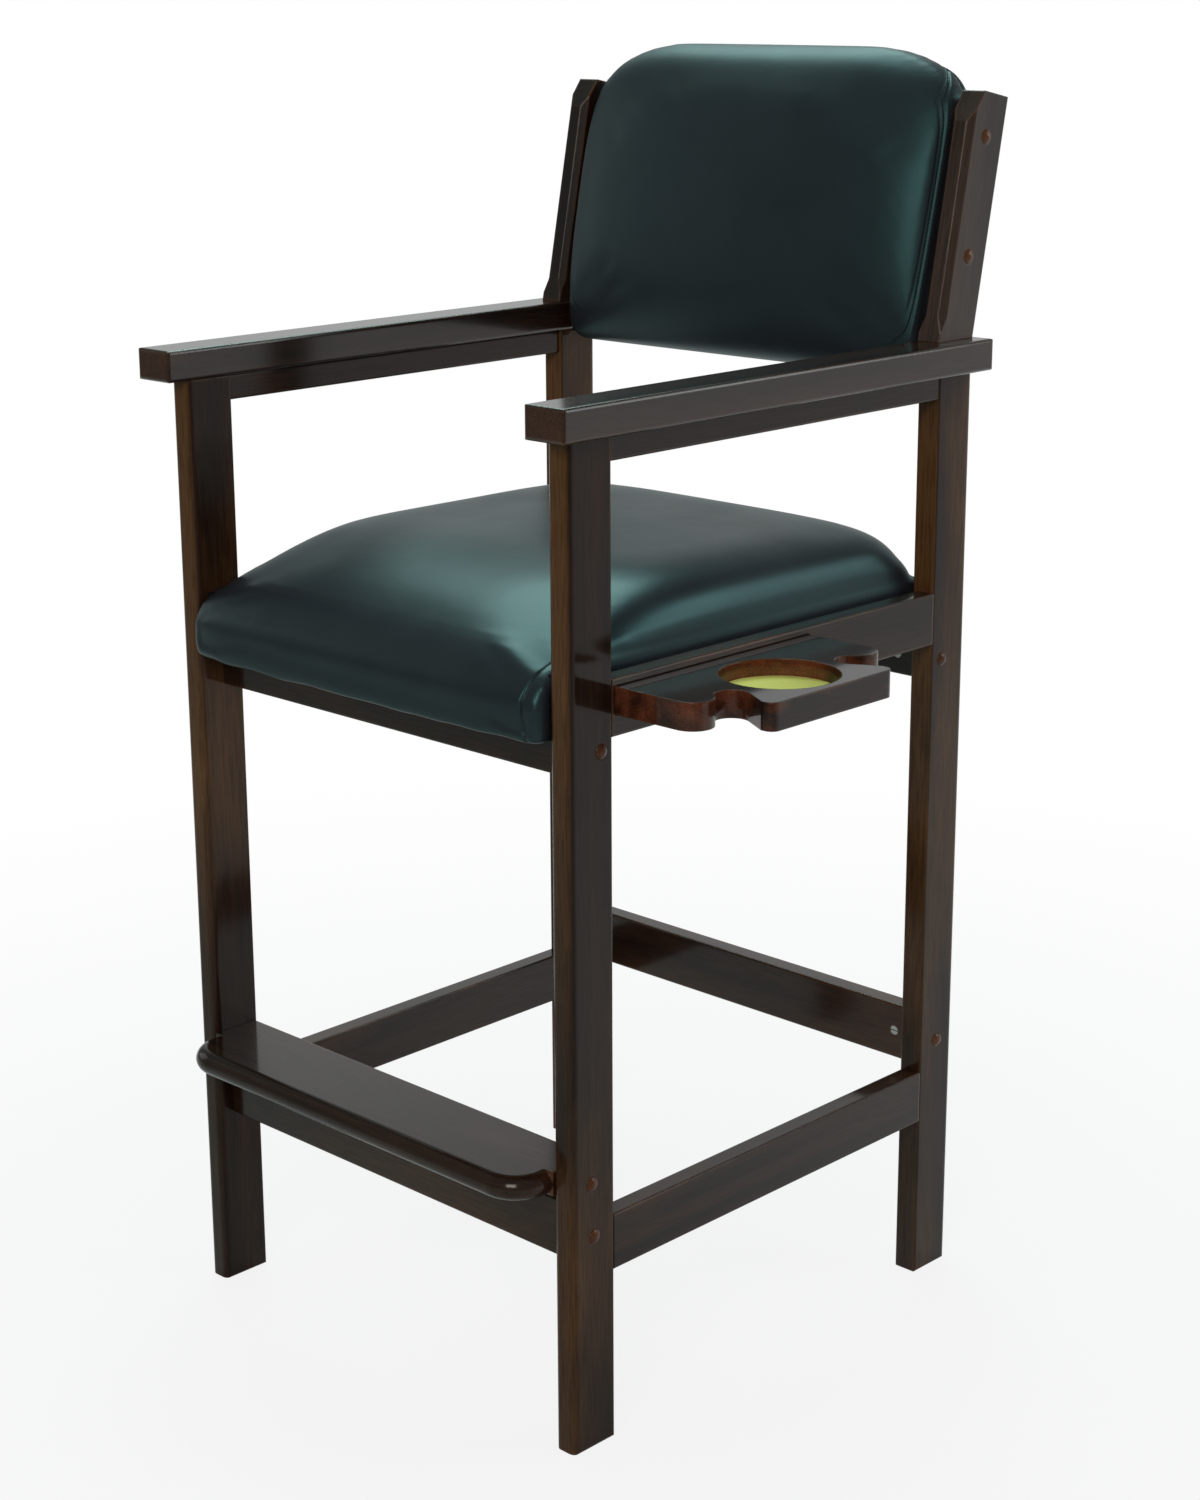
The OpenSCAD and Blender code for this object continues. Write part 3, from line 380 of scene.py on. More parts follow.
def board_wood(name, along, dark, pale, rubbed, gloss, lean=0.0, coat=1.0,
               patch=(0.105, 0.040, 0.018), facing=0.0, ior=1.30, walls=False):
    """Wood whose grain runs along X, Y or Z; lean tips Z-grain backwards.

    patch is the redder tone where the stain lies thin, and facing adds to
    it on faces that look forward, from knee height up. walls keeps the
    patches small and on the sides of a board.
    """
    mat, tree, shader, place = new_finish(name)
    turned = mapped(tree, place, "Rotation", (math.radians(lean), 0, 0))
    lengthwise = [axis == along for axis in "XYZ"]
    fine = mapped(tree, turned, "Scale", [0.045 if way else 1.0 for way in lengthwise])
    long = mapped(tree, turned, "Scale", [0.3 if way else 1.0 for way in lengthwise])
    cloud = noise_out(tree, fine, 26.0, 5.0, 0.6)
    pores = noise_out(tree, fine, 620.0, 3.0)
    broad = noise_out(tree, long, 26.0 if walls else 8.0, 4.0)

    thin = span_out(tree, broad, 0.40 if walls else 0.48, 0.68, 0.0, 0.75)
    if walls:
        thin = math_out(tree, "MULTIPLY", sideways(tree), thin)
    # facing: more of the redder tone on forward-facing faces, from knee height up.
    if facing:
        thin = math_out(tree, "ADD", thin, forward_faces_high(tree, place, facing), clamp=True)
    stain = two_tones(tree, cloud, (0.30, dark), (0.72, pale))
    patchy = mix_out(tree, thin, stain, (*patch, 1))
    lines = two_tones(tree, pores, (0.36, PORE_DARK), (0.56, (1, 1, 1)))
    grain = mix_out(tree, 0.75, patchy, lines, "MULTIPLY")
    worn = mix_out(tree, worn_edge(tree, place), grain, (*rubbed, 1))

    eased = bevel_out(tree, 0.0022)
    wire(tree, (worn, shader["Base Color"]),
         (span_out(tree, cloud, 0.0, 1.0, gloss - 0.06, gloss + 0.10), shader["Roughness"]),
         (bump_out(tree, pores, 0.22, 0.0003, eased), shader["Normal"]),
         (eased, shader["Coat Normal"]))
    shader["Specular IOR Level"].default_value = UNDER_COAT_SPECULAR
    shader["Specular Tint"].default_value = WARM
    shader["Coat Weight"].default_value = coat
    shader["Coat Roughness"].default_value = 0.07 if walls else 0.11
    shader["Coat IOR"].default_value = ior
    return mat

# %% Stained boards in each direction
ESPRESSO = ((0.0075, 0.0036, 0.0026), (0.0520, 0.0200, 0.0105))
REDDER = ((0.0090, 0.0040, 0.0028), (0.0380, 0.0120, 0.0070))
RUBBED = (0.200, 0.072, 0.028)
GOLDEN = (0.165, 0.073, 0.026)
ORANGE = (0.170, 0.058, 0.022)
LEAN = 11.3

upright_wood = board_wood("espresso_upright", "Z", *ESPRESSO, RUBBED, 0.40,
                          patch=GOLDEN, facing=0.8)
post_wood = board_wood("espresso_leaning", "Z", *ESPRESSO, RUBBED, 0.40, LEAN,
                       patch=(0.090, 0.050, 0.038), ior=1.50)
deep_wood = board_wood("espresso_front_to_back", "Y", *ESPRESSO, RUBBED, 0.38, ior=1.38)
arm_wood = board_wood("espresso_arm", "Y", *ESPRESSO, RUBBED, 0.36, facing=0.5, ior=1.60)
cross_wood = board_wood("espresso_side_to_side", "X", *ESPRESSO, RUBBED, 0.38, ior=1.42)
holder_wood = board_wood("espresso_holder", "Y", *REDDER, RUBBED, 0.36,
                         patch=(0.290, 0.075, 0.034), ior=1.40, walls=True)
plug_wood = board_wood("plug_wood", "X", (0.060, 0.021, 0.010), ORANGE, ORANGE, 0.34,
                       patch=ORANGE)
print("wood finishes:", [m.name for m in bpy.data.materials if "espresso" in m.name])

# %% [markdown]
# ## Bare wood and plywood
#
# Underneath, where nobody looks, the chair is unstained: plywood under the
# cushions, hardwood runners and dowels. The sheet could be built ply by ply,
# but a Wave texture across Z draws the same stripes on its cut sides. The
# cover is stapled round it, so its rim and the strip next to it are black.

# %% Bare wood finishes
BARE = ((0.27, 0.17, 0.085), (0.45, 0.31, 0.17), (0.50, 0.36, 0.22))
SHEET = ((0.34, 0.23, 0.12), (0.52, 0.38, 0.22), (0.55, 0.42, 0.26))
PLY_DARK = (0.55, 0.50, 0.45)
COVER_BLACK = (0.008, 0.010, 0.012, 1)
NO_LIMIT = 9.0

bare_deep = board_wood("bare_wood_deep", "Y", *BARE, 0.6, coat=0.0, patch=(0.48, 0.33, 0.18))
bare_cross = board_wood("bare_wood_cross", "X", *BARE, 0.6, coat=0.0, patch=(0.48, 0.33, 0.18))


def plywood(name):
    """Bare sheet with the plies showing as stripes on its cut sides."""
    mat = board_wood(name, "X", *SHEET, 0.65, coat=0.0, patch=(0.55, 0.41, 0.24))
    tree = mat.node_tree
    base = tree.nodes["Principled BSDF"].inputs["Base Color"]
    plies = node_in(tree, "ShaderNodeTexWave", wave_type="BANDS", bands_direction="Z")
    plies.inputs["Scale"].default_value = 130.0
    place = node_in(tree, "ShaderNodeTexCoord").outputs["Object"]
    wire(tree, (place, plies.inputs["Vector"]))
    shade = two_tones(tree, plies.outputs["Fac"], (0.4, PLY_DARK), (0.6, (1, 1, 1)))
    striped = mix_out(tree, sideways(tree), base.links[0].from_socket, shade, "MULTIPLY")
    tree.links.new(striped, base)
    return mat


def wrapped_rim(mat, half, front, rear):
    """Black cover stapled round the edge of a board and a little way under."""
    tree = mat.node_tree
    base = tree.nodes["Principled BSDF"].inputs["Base Color"]
    spot = parts_of(tree, node_in(tree, "ShaderNodeTexCoord").outputs["Object"])
    wide = math_out(tree, "ABSOLUTE", spot["X"])
    ends = math_out(tree, "MAXIMUM", math_out(tree, "GREATER_THAN", wide, half),
                    math_out(tree, "LESS_THAN", spot["Y"], front))
    rim = math_out(tree, "MAXIMUM", ends, math_out(tree, "GREATER_THAN", spot["Y"], rear))
    tree.links.new(mix_out(tree, rim, base.links[0].from_socket, COVER_BLACK), base)
    return mat


wrapped_board = wrapped_rim(plywood("plywood_back_wrapped"), 0.205, -NO_LIMIT, NO_LIMIT)
wrapped_sheet = wrapped_rim(plywood("plywood_wrapped"), 0.214, -0.246, 0.222)
print("bare finishes:", bare_deep.name, bare_cross.name, wrapped_board.name,
      wrapped_sheet.name)

# %% [markdown]
# ## Vinyl, felt and metal
#
# The vinyl is black with a cool cast, semi-gloss, with a leather print finer
# than a millimetre. Real relief that small would take millions of faces, so
# two layers of bump make it: small cells for the print and slow noise for the
# way the sheet pulls over foam. The cup pad is felt, and the fixings are
# zinc-plated steel.

# %% Vinyl
VINYL_LOW, VINYL_HIGH = (0.0205, 0.0195, 0.0270), (0.0265, 0.0260, 0.0350)
COOL = (0.36, 1.0, 1.0, 1)


def black_vinyl(name, rough):
    """Semi-gloss vinyl: a cell print over a slow pull in the sheet."""
    mat, tree, shader, place = new_finish(name)
    cells = node_in(tree, "ShaderNodeTexVoronoi", feature="SMOOTH_F1")
    cells.inputs["Scale"].default_value = 950.0
    wire(tree, (place, cells.inputs["Vector"]))
    slow = noise_out(tree, place, 11.0, 4.0)
    pull = bump_out(tree, slow, 0.25, 0.004)
    tone = two_tones(tree, slow, (0.3, VINYL_LOW), (0.7, VINYL_HIGH))
    wire(tree, (tone, shader["Base Color"]),
         (span_out(tree, slow, 0.0, 1.0, rough - 0.05, rough + 0.07), shader["Roughness"]),
         (bump_out(tree, cells.outputs["Distance"], 0.16, 0.0002, pull), shader["Normal"]))
    shader["Specular Tint"].default_value = COOL
    shader["IOR"].default_value = 1.50
    return mat


seat_vinyl = black_vinyl("seat_vinyl", 0.35)
back_vinyl = black_vinyl("back_vinyl", 0.44)
print("vinyl:", seat_vinyl.name, back_vinyl.name)

# %% Felt, thread and metal
def plain_finish(name, low, high, rough, scale, metal=0.0, bump=0.1):
    """A finish whose colour wanders between two tones on fine noise."""
    mat, tree, shader, place = new_finish(name)
    grain = noise_out(tree, place, scale, 6.0)
    wire(tree, (two_tones(tree, grain, (0.3, low), (0.7, high)), shader["Base Color"]),
         (bump_out(tree, grain, bump, 0.0002), shader["Normal"]))
    shader["Roughness"].default_value = rough
    shader["Metallic"].default_value = metal
    return mat


pad_felt = plain_finish("cup_pad_felt", (0.92, 0.93, 0.19), (0.96, 0.96, 0.29), 0.85, 700,
                        bump=0.5)
thread = plain_finish("black_thread", (0.006, 0.008, 0.009), (0.02, 0.024, 0.026), 0.5, 900)
zinc = plain_finish("zinc_plate", (0.50, 0.50, 0.49), (0.66, 0.66, 0.64), 0.34, 260, metal=1.0)
brass = plain_finish("insert_brass", (0.55, 0.38, 0.13), (0.70, 0.52, 0.22), 0.35, 260,
                     metal=1.0)
print("small finishes:", pad_felt.name, thread.name, zinc.name, brass.name)

# %% [markdown]
# ## Dressing the solid pieces
#
# Grain runs along every board. One material could guess the direction from
# the surface, but would be wrong on end grain, so each named board takes the
# copy whose grain runs its own way. Only the material slots change.

# %% Give each solid its finish
def dress(finish, *nodes):
    """Puts one finish on the named solids."""
    for name in nodes:
        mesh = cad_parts[name].data
        mesh.materials.clear()
        mesh.materials.append(finish)


dress(upright_wood, "front_leg_left", "front_leg_right", "rear_leg_left", "rear_leg_right")
dress(post_wood, "back_post_left", "back_post_right")
dress(arm_wood, "arm_left", "arm_right")
dress(deep_wood, "arm_rail_left", "arm_rail_right", "seat_rail_left", "seat_rail_right",
      "low_rail_left", "low_rail_right")
dress(cross_wood, "seat_rail_front", "seat_rail_rear", "low_rail_front", "low_rail_rear",
      "footrest", "seat_batten_front", "seat_batten_rear")
dress(plug_wood, "leg_plugs", "post_plugs")
dress(bare_cross, "runner_front", "runner_rear", "rail_dowels")
dress(bare_deep, "stop_block", "stop_bar", "arm_dowels", "post_dowels")
dress(wrapped_sheet, "seat_base", "seat_apron")
dress(wrapped_board, "back_board")
dress(pad_felt, "cup_pad")
dress(zinc, "frame_bolts", "barrel_nuts", "arm_screws", "seat_screws", "runner_screws",
      "back_bolts", "stop_bar_screws")
dress(brass, "back_inserts")
print("dressed", len(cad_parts), "nodes before the upholstery")

# %% [markdown]
# ## Helpers for new pieces
#
# A few small tools serve all the new pieces. One turns points and faces into
# an object, one keeps the shape that the modifiers give, and one rebuilds a
# form as small even faces, because cloth can't bend long thin ones.

# %% New mesh objects
def new_piece(name, points, faces, finish):
    """A smooth-shaded object whose faces all look outward."""
    mesh = bpy.data.meshes.new(name)
    mesh.from_pydata([tuple(p) for p in points], [], faces)
    mesh.validate()
    made = in_scene(name, mesh)
    work = bmesh.new()
    work.from_mesh(mesh)
    bmesh.ops.recalc_face_normals(work, faces=work.faces)
    work.to_mesh(mesh)
    work.free()
    mesh.materials.append(finish)
    for face in mesh.polygons:
        face.use_smooth = True
    return made


def baked(piece):
    """Applies every modifier, so that the plain mesh holds the shape."""
    graph = bpy.context.evaluated_depsgraph_get()
    shaped = bpy.data.meshes.new_from_object(piece.evaluated_get(graph))
    old = piece.data
    finishes = list(old.materials)
    piece.modifiers.clear()
    piece.data = shaped
    shaped.materials.clear()
    for finish in finishes:
        shaped.materials.append(finish)
    bpy.data.meshes.remove(old)
    for face in shaped.polygons:
        face.use_smooth = True


def even_skin(piece, size):
    """Rebuilds the form as even faces of about one size."""
    again = piece.modifiers.new("even", "REMESH")
    again.mode = "VOXEL"
    again.voxel_size = size
    baked(piece)


def finer(piece):
    """Splits every face in four and rounds the result."""
    more = piece.modifiers.new("finer", "SUBSURF")
    more.levels = more.render_levels = 1


print("helpers for new pieces are ready")

# %% [markdown]
# ### Air in the cover
#
# Foam pushes its cover outward and the staples hold it back. That could be
# sculpted, but cloth with air inside does it by itself: some points are
# pinned, the rest may travel, and a cap keeps them close to the drawn form.
# Relaxing afterwards evens out small puckers.

# %% Swell a form with air
SWELL_FRAMES = 20
STUFFED = {
    "quality": 6,
    "mass": 0.3,
    "tension_stiffness": 18,
    "compression_stiffness": 18,
    "shear_stiffness": 6,
    "bending_stiffness": 0.6,
    "use_pressure": True,
    "uniform_pressure_force": 4.0,
    "vertex_group_mass": "held",
}


def swell(piece, held, cap):
    """Runs cloth with air inside; held(co) pins points, cap limits travel."""
    mesh = piece.data
    start = [v.co.copy() for v in mesh.vertices]
    pins = piece.vertex_groups.new(name="held")
    pins.add([v.index for v in mesh.vertices if held(v.co)], 1.0, "REPLACE")
    cloth = piece.modifiers.new("cloth", "CLOTH")
    for key, value in STUFFED.items():
        setattr(cloth.settings, key, value)
    cloth.settings.effector_weights.gravity = 0
    cloth.point_cache.frame_start = 1
    cloth.point_cache.frame_end = SWELL_FRAMES
    for moment in range(1, SWELL_FRAMES + 1):
        bpy.context.scene.frame_set(moment)
    graph = bpy.context.evaluated_depsgraph_get()
    blown = [v.co.copy() for v in piece.evaluated_get(graph).data.vertices]
    piece.modifiers.remove(cloth)
    piece.vertex_groups.clear()
    bpy.context.scene.frame_set(1)
    far = 0.0
    for v, a, b in zip(mesh.vertices, start, blown):
        step = b - a
        if step.length > cap:
            step *= cap / step.length
        far = max(far, step.length)
        v.co = a + step
    print(piece.name, "swelled by up to", round(far * 1000, 1), "mm")


def relax(piece, rounds, keep=lambda co: False):
    """Evens out the skin without moving the points that keep() names."""
    work = bmesh.new()
    work.from_mesh(piece.data)
    free = [v for v in work.verts if not keep(v.co)]
    for _ in range(rounds):
        bmesh.ops.smooth_vert(work, verts=free, factor=0.5, use_axis_x=True, use_axis_y=True,
                              use_axis_z=True)
    work.to_mesh(piece.data)
    work.free()


print("air and relaxing are ready;", SWELL_FRAMES, "frames of cloth")

# %% [markdown]
# ## The holder board
#
# This is the chair's trick: a board that slides out at the sitter's side,
# with a round recess for a cup and a notch at each side for a cue. The solid
# has sharp edges, as sawn; the real one is eased with a router bit. A bevel on
# the solid would keep its facets, so the same outline is drawn again here. Its
# arcs are traced as points: the lobe, the notch cut against it, the ramp and
# the round outer corner.

# %% Outline of the holder board
RAIL_FACE = 272.0
INNER_END, HOLDER_HALF = -150.0, 133.0
HOLDER_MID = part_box("holder_board")[0][1] * 1000 + HOLDER_HALF
LOBE, LOBE_R = (73.0, 113.0), 20.0
NOTCH = (92.0, 83.0)
RAMP = (126.0, 84.0)
OUTER_END, OUTER_R = 139.5, 9.0


def arc(centre, r, a0, a1, n):
    """Points on an arc, angles in degrees."""
    turns = [math.radians(a0 + (a1 - a0) * i / n) for i in range(n + 1)]
    return [(centre[0] + r * math.cos(a), centre[1] + r * math.sin(a)) for a in turns]


def bearing(a, b):
    """Direction from one point to another, in degrees."""
    return math.degrees(math.atan2(b[1] - a[1], b[0] - a[0]))


def holder_side():
    """Half of the outline, as (out of the rail, along the rail) points."""
    notch_r = math.dist(LOBE, NOTCH) - LOBE_R
    toward = bearing(LOBE, NOTCH)
    leave = bearing(NOTCH, RAMP) - math.degrees(math.acos(notch_r / math.dist(NOTCH, RAMP)))
    line = [(INNER_END, HOLDER_HALF)]
    line += arc(LOBE, LOBE_R, 90, toward, 14)
    line += arc(NOTCH, notch_r, toward + 180, leave + 360, 18)[1:]
    line += [RAMP]
    line += arc((OUTER_END - OUTER_R, RAMP[1] - OUTER_R), OUTER_R, 90, 0, 8)
    return line


print("half of the holder's outline:", len(holder_side()), "points")

# %% [markdown]
# ### Cutting and easing it
#
# The outline is raised into walls, the recess is set in as a second ring, and
# one fill closes the top between the two. A boolean cut would do it too, but
# leaves thin triangles that shade badly once they are bevelled. Level faces
# stay flat, so that the gloss runs clean across them.

# %% Cut and ease the holder board
BOARD_LOW, BOARD_TOP = 708.0, 734.0
CUP_AT, CUP_R, CUP_FLOOR = 76.0, 55.0, 716.0
EASE, SHARPER_THAN = 0.0026, 50
LEVEL, SMALL_FACE = 0.999, 0.0002


def ring_of(work, outline, z):
    """Adds the outline's points at one height."""
    places = [(RAIL_FACE + e, HOLDER_MID + v, z) for e, v in outline]
    return [work.verts.new([c * MM for c in p]) for p in places]


def pairs_of(ring):
    """Each point of a closed ring with the next one."""
    return list(zip(ring, ring[1:] + ring[:1]))


def wall(work, one, other):
    """Closes the strip between two rings."""
    for (a, b), (d, c) in zip(pairs_of(one), pairs_of(other)):
        work.faces.new((a, b, c, d))


def holder_piece():
    """The board with its recess, its edges rounded and its faces flat."""
    side = holder_side()
    outline = side + [(e, -v) for e, v in reversed(side)]
    cup = arc((CUP_AT, 0.0), CUP_R, 0, 360, 72)[:-1]
    work = bmesh.new()
    low, top = ring_of(work, outline, BOARD_LOW), ring_of(work, outline, BOARD_TOP)
    wall(work, low, top)
    work.faces.new(low[::-1])
    rim, foot = ring_of(work, cup, BOARD_TOP), ring_of(work, cup, CUP_FLOOR)
    wall(work, rim, foot)
    work.faces.new(foot)
    border = [work.edges.get(pair) for pair in pairs_of(top) + pairs_of(rim)]
    bmesh.ops.triangle_fill(work, edges=border, use_beauty=True, use_dissolve=False)
    bmesh.ops.recalc_face_normals(work, faces=work.faces)
    mesh = bpy.data.meshes.new("holder_board_eased")
    work.to_mesh(mesh)
    work.free()
    made = in_scene("holder_board_eased", mesh)
    mesh.materials.append(holder_wood)
    ease = made.modifiers.new("ease", "BEVEL")
    ease.width = EASE
    ease.segments = 5
    ease.limit_method = "ANGLE"
    ease.angle_limit = math.radians(SHARPER_THAN)
    baked(made)
    for face in made.data.polygons:
        face.use_smooth = abs(face.normal.z) <= LEVEL and face.area < SMALL_FACE
    return made


holder = holder_piece()
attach(holder, "holder")
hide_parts("holder_board")
print("holder board:", len(holder.data.polygons), "faces")

# %% [markdown]
# ## The seat cushion
#
# Foam on a board under black vinyl: crowned in the middle, pulled down hard
# at the sides, and rolled over the front in one long waterfall. A subdivided
# box is as round on one side as on the other, which this seat isn't. So we
# draw its middle line from the front foot to the rear foot, and sweep it
# across the chair with less and less swell towards the sides.

# %% Shape of the seat cushion
SEAT_HALF = 244.8
SEAT_FRONT, SEAT_REAR = -304.5, 252.2
SEAT_LOW, SEAT_NOSE, SEAT_FOOT = 685.6, 726.0, 736.0
BASE_FRONT, BASE_INSET = -274.0, 9
SEAT_CROWN, REAR_LOW, REAR_DIP = 807.2, 747, 11
SEAT_RUN, SEAT_ROLL = 213.0, 93.0
NOSE_AT, BEHIND_AT, CROWN_AT, SEAT_STEPS = 9, 18, 38, 60
FLAT_SHARE = 0.25


def seat_line(i):
    """Middle line of the seat: (y, z) from the front foot to the rear foot."""
    if i <= NOSE_AT:
        f = i / NOSE_AT
        return (SEAT_FRONT + 4 * (1 - f) ** 2, SEAT_LOW + (SEAT_NOSE - SEAT_LOW) * f)
    if i <= CROWN_AT:
        a = 1 - ((i - NOSE_AT) / (CROWN_AT - NOSE_AT)) ** 1.88
        return (SEAT_FRONT + SEAT_RUN * (1 - a),
                SEAT_NOSE + (SEAT_CROWN - SEAT_NOSE) * (1 - a * a) ** 0.741)
    v = (i - CROWN_AT) / (SEAT_STEPS - CROWN_AT)
    start, turn = SEAT_FRONT + SEAT_RUN, SEAT_REAR - SEAT_ROLL
    if v < FLAT_SHARE:
        return (start + (turn - start) * v / FLAT_SHARE, SEAT_CROWN)
    c = math.sin(math.radians(90 * (v - FLAT_SHARE) / (1 - FLAT_SHARE)))
    rise = max(0.0, 1 - c ** 5) ** 0.48
    return (turn + SEAT_ROLL * c,
            REAR_LOW + (SEAT_CROWN - REAR_LOW) * rise - REAR_DIP * c ** 12)


def seat_root(i):
    """Where the swell starts from: up behind the front, then back."""
    if i <= BEHIND_AT:
        return (BASE_FRONT, SEAT_LOW + (SEAT_FOOT - SEAT_LOW) * i / BEHIND_AT)
    way = ((i - BEHIND_AT) / (SEAT_STEPS - BEHIND_AT)) ** 0.9
    return (BASE_FRONT + (SEAT_REAR - BASE_INSET - BASE_FRONT) * way, SEAT_FOOT)


def across(u, low, p, q):
    """Share of the swell at u, from 1 in the middle to low at both sides."""
    return low + (1 - low) * max(0.0, 1 - abs(u) ** p) ** q


print("seat: nose at", SEAT_NOSE, "mm, crown at", SEAT_CROWN, "mm")

# %% Sweep the line across
SIDE_SHARE = 0.53
SEAT_RINGS, SIDE_ROOM = 56, 1.5


def grid_faces(rows, wide):
    """Four-sided faces over rows of points that are each wide points long."""
    return [(a, a + 1, a + wide + 1, a + wide)
            for j in range(rows) for a in range(j * wide, (j + 1) * wide - 1)]


def swept_seat():
    """A closed form: the line swept across, less swollen to the sides."""
    points = []
    half = SEAT_HALF - SIDE_ROOM
    for j in range(SEAT_RINGS + 1):
        u = math.sin(math.radians(90 * (2 * j / SEAT_RINGS - 1)))
        k = across(u, SIDE_SHARE, 7, 0.42)
        for i in range(SEAT_STEPS + 1):
            a, b = seat_root(i), seat_line(i)
            points.append((half * u, a[0] + (b[0] - a[0]) * k, a[1] + (b[1] - a[1]) * k))
    for u in (-1, 1):
        points += [(half * u, *seat_root(i)) for i in range(SEAT_STEPS + 1)]
    wide = SEAT_STEPS + 1
    last, left, right = (SEAT_RINGS * wide, (SEAT_RINGS + 1) * wide, (SEAT_RINGS + 2) * wide)
    faces = grid_faces(SEAT_RINGS, wide)
    for i in range(SEAT_STEPS):
        faces.append((left + i, right + i, right + i + 1, left + i + 1))
        faces.append((i, left + i, left + i + 1, i + 1))
        faces.append((last + i, last + i + 1, right + i + 1, right + i))
    for at in (0, SEAT_STEPS):
        faces.append([left + at, *range(at, last + at + 1, wide), right + at])
    return points, faces


points, faces = swept_seat()
seat = new_piece("seat_cushion_vinyl", [Vector(p) * MM for p in points], faces, seat_vinyl)
print("swept seat:", len(seat.data.polygons), "faces")

# %% [markdown]
# ### Staples and air
#
# The vinyl is stapled under the board and along the hem of its hanging front,
# so those points are pinned while the air swells the rest. Where the swollen
# skin meets the board it is pulled in tight, as the staples would pull it.

# %% Swell the seat cushion
SKIN_SIZE, SWELL_CAP = 0.005, 0.0025
HANG_Y, HEM_Z, STAPLE_Z = -0.268, 0.692, 0.749
BOARD_Z = 0.7495
NEAR_SIDE, SIDE_X = 0.232, 0.2446
NEAR_REAR, REAR_Y = 0.240, 0.2521


def stapled(co):
    """True where the vinyl is held: round the board and along the hem."""
    return co.z < STAPLE_Z and co.y > HANG_Y or co.z < HEM_Z


def wrap_base(piece):
    """Pulls the skin down over the edge of the base board."""
    for v in piece.data.vertices:
        if v.co.z < BOARD_Z and v.co.y > HANG_Y:
            if abs(v.co.x) > NEAR_SIDE:
                v.co.x = math.copysign(SIDE_X, v.co.x)
            if v.co.y > NEAR_REAR:
                v.co.y = REAR_Y


even_skin(seat, SKIN_SIZE)
relax(seat, 2)
swell(seat, stapled, SWELL_CAP)
for rounds, fixed_below in ((8, 0.740), (18, 0.762), (30, 0.768)):
    relax(seat, rounds, lambda co: co.z < fixed_below)
wrap_base(seat)
print("seat cushion:", len(seat.data.polygons), "faces")

# %% [markdown]
# ### A fold at the corner
#
# Where the hanging front meets the side, the vinyl has more width than it
# needs, so it is folded over itself: a lip, and a sharp drop beside it. Bump
# would not show in the outline, so the fold is in the mesh, whose faces are
# split first, but only there. The hem below is never quite straight either,
# and a little noise lets it wander.

# %% Tuck the near front corner of the seat
HEM = SEAT_LOW * MM
FRONT_Y = -0.255
PLEAT_X, PLEAT_TOP, PLEAT_DEEP, PLEAT_BOW = 0.2275, 0.756, 0.0034, 0.004
LIP, DROP = 0.0007, 0.0016
FADE_ABOVE, FADE_TALL, NO_PLEAT_ABOVE = 0.008, 0.018, 0.02
HEM_TALL, HEM_WAVE, WAVES, LIFT = 0.016, 0.0016, 24, 0.4


def close_mesh(piece, near):
    """Smaller faces only where near(co) says so, for a fine crease."""
    work = bmesh.new()
    work.from_mesh(piece.data)
    edges = [e for e in work.edges if near(e.verts[0].co) and near(e.verts[1].co)]
    bmesh.ops.subdivide_edges(work, edges=edges, cuts=2, use_grid_fill=True)
    work.to_mesh(piece.data)
    work.free()


def by_pleat(co):
    """True near the folded corner."""
    return 0.218 < co.x < 0.240 and co.y < -0.262 and co.z < 0.772


def tuck(piece):
    """Folds the pleat: a lip, then a sharp drop."""
    for v in piece.data.vertices:
        co = v.co
        if co.z > PLEAT_TOP + NO_PLEAT_ABOVE or co.y > FRONT_Y:
            continue
        height = min(1.0, (co.z - HEM) / (PLEAT_TOP - HEM))
        d = co.x - (PLEAT_X - PLEAT_BOW * math.sin(math.pi * height))
        fade = min(1.0, max(0.0, (PLEAT_TOP + FADE_ABOVE - co.z) / FADE_TALL))
        co.y += PLEAT_DEEP * fade * math.exp(d / LIP if d < 0 else -d / DROP)


def wavy_hem(piece):
    """Lets the bottom edge of the hanging front wander."""
    for v in piece.data.vertices:
        if v.co.y < FRONT_Y:
            near = max(0.0, 1 - (v.co.z - HEM) / HEM_TALL)
            wander = noise.noise(Vector((v.co.x * WAVES, 3.1, 0))) + LIFT
            v.co.z += HEM_WAVE * near * wander


finer(seat)
baked(seat)
close_mesh(seat, by_pleat)
tuck(seat)
wavy_hem(seat)
print("seat cushion with its pleat:", len(seat.data.polygons), "faces")
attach(seat, "chair")
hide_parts("seat_cushion")

# %% [markdown]
# ## The back cushion
#
# The back is a box cushion wrapped over a board: one panel runs up the front
# and over the top, and a narrow side panel closes each side. It leans with
# the posts. Every number would be a slanted one if we drew it in place, so we
# work upright in the posts' own frame and tip each point back.

# %% The posts' leaning frame
POST_REAR, POST_DEEP = 285.5, 57.2
ARM_TOP = 0.990
POST_FOOT = Vector((0.0, (POST_REAR - POST_DEEP) * MM, ARM_TOP))
TIP_BACK = Matrix.Translation(POST_FOOT) @ Matrix.Rotation(math.radians(-LEAN), 4, "X")
UNTIP = TIP_BACK.inverted()


def tipped(p):
    """A point given as (x, depth behind the posts' front, height), in mm."""
    return TIP_BACK @ (Vector(p) * MM)


print("the posts lean back by", LEAN, "degrees")

# %% Shape of the back cushion
BACK_HALF, BACK_ROOM = 239.6, 1
BACK_TOP, BACK_LOW = 286.5, -35.5
BACK_REAR, BACK_BULGE = 38.0, 34.0
ARCH, CORNER, LOW_CORNER = 120.0, 57.0, 6
BACK_RINGS, BACK_STEPS = 44, 56
PINNED_BEHIND, KEPT_BEHIND, KEPT_BESIDE = 0.012, 0.030, 0.228


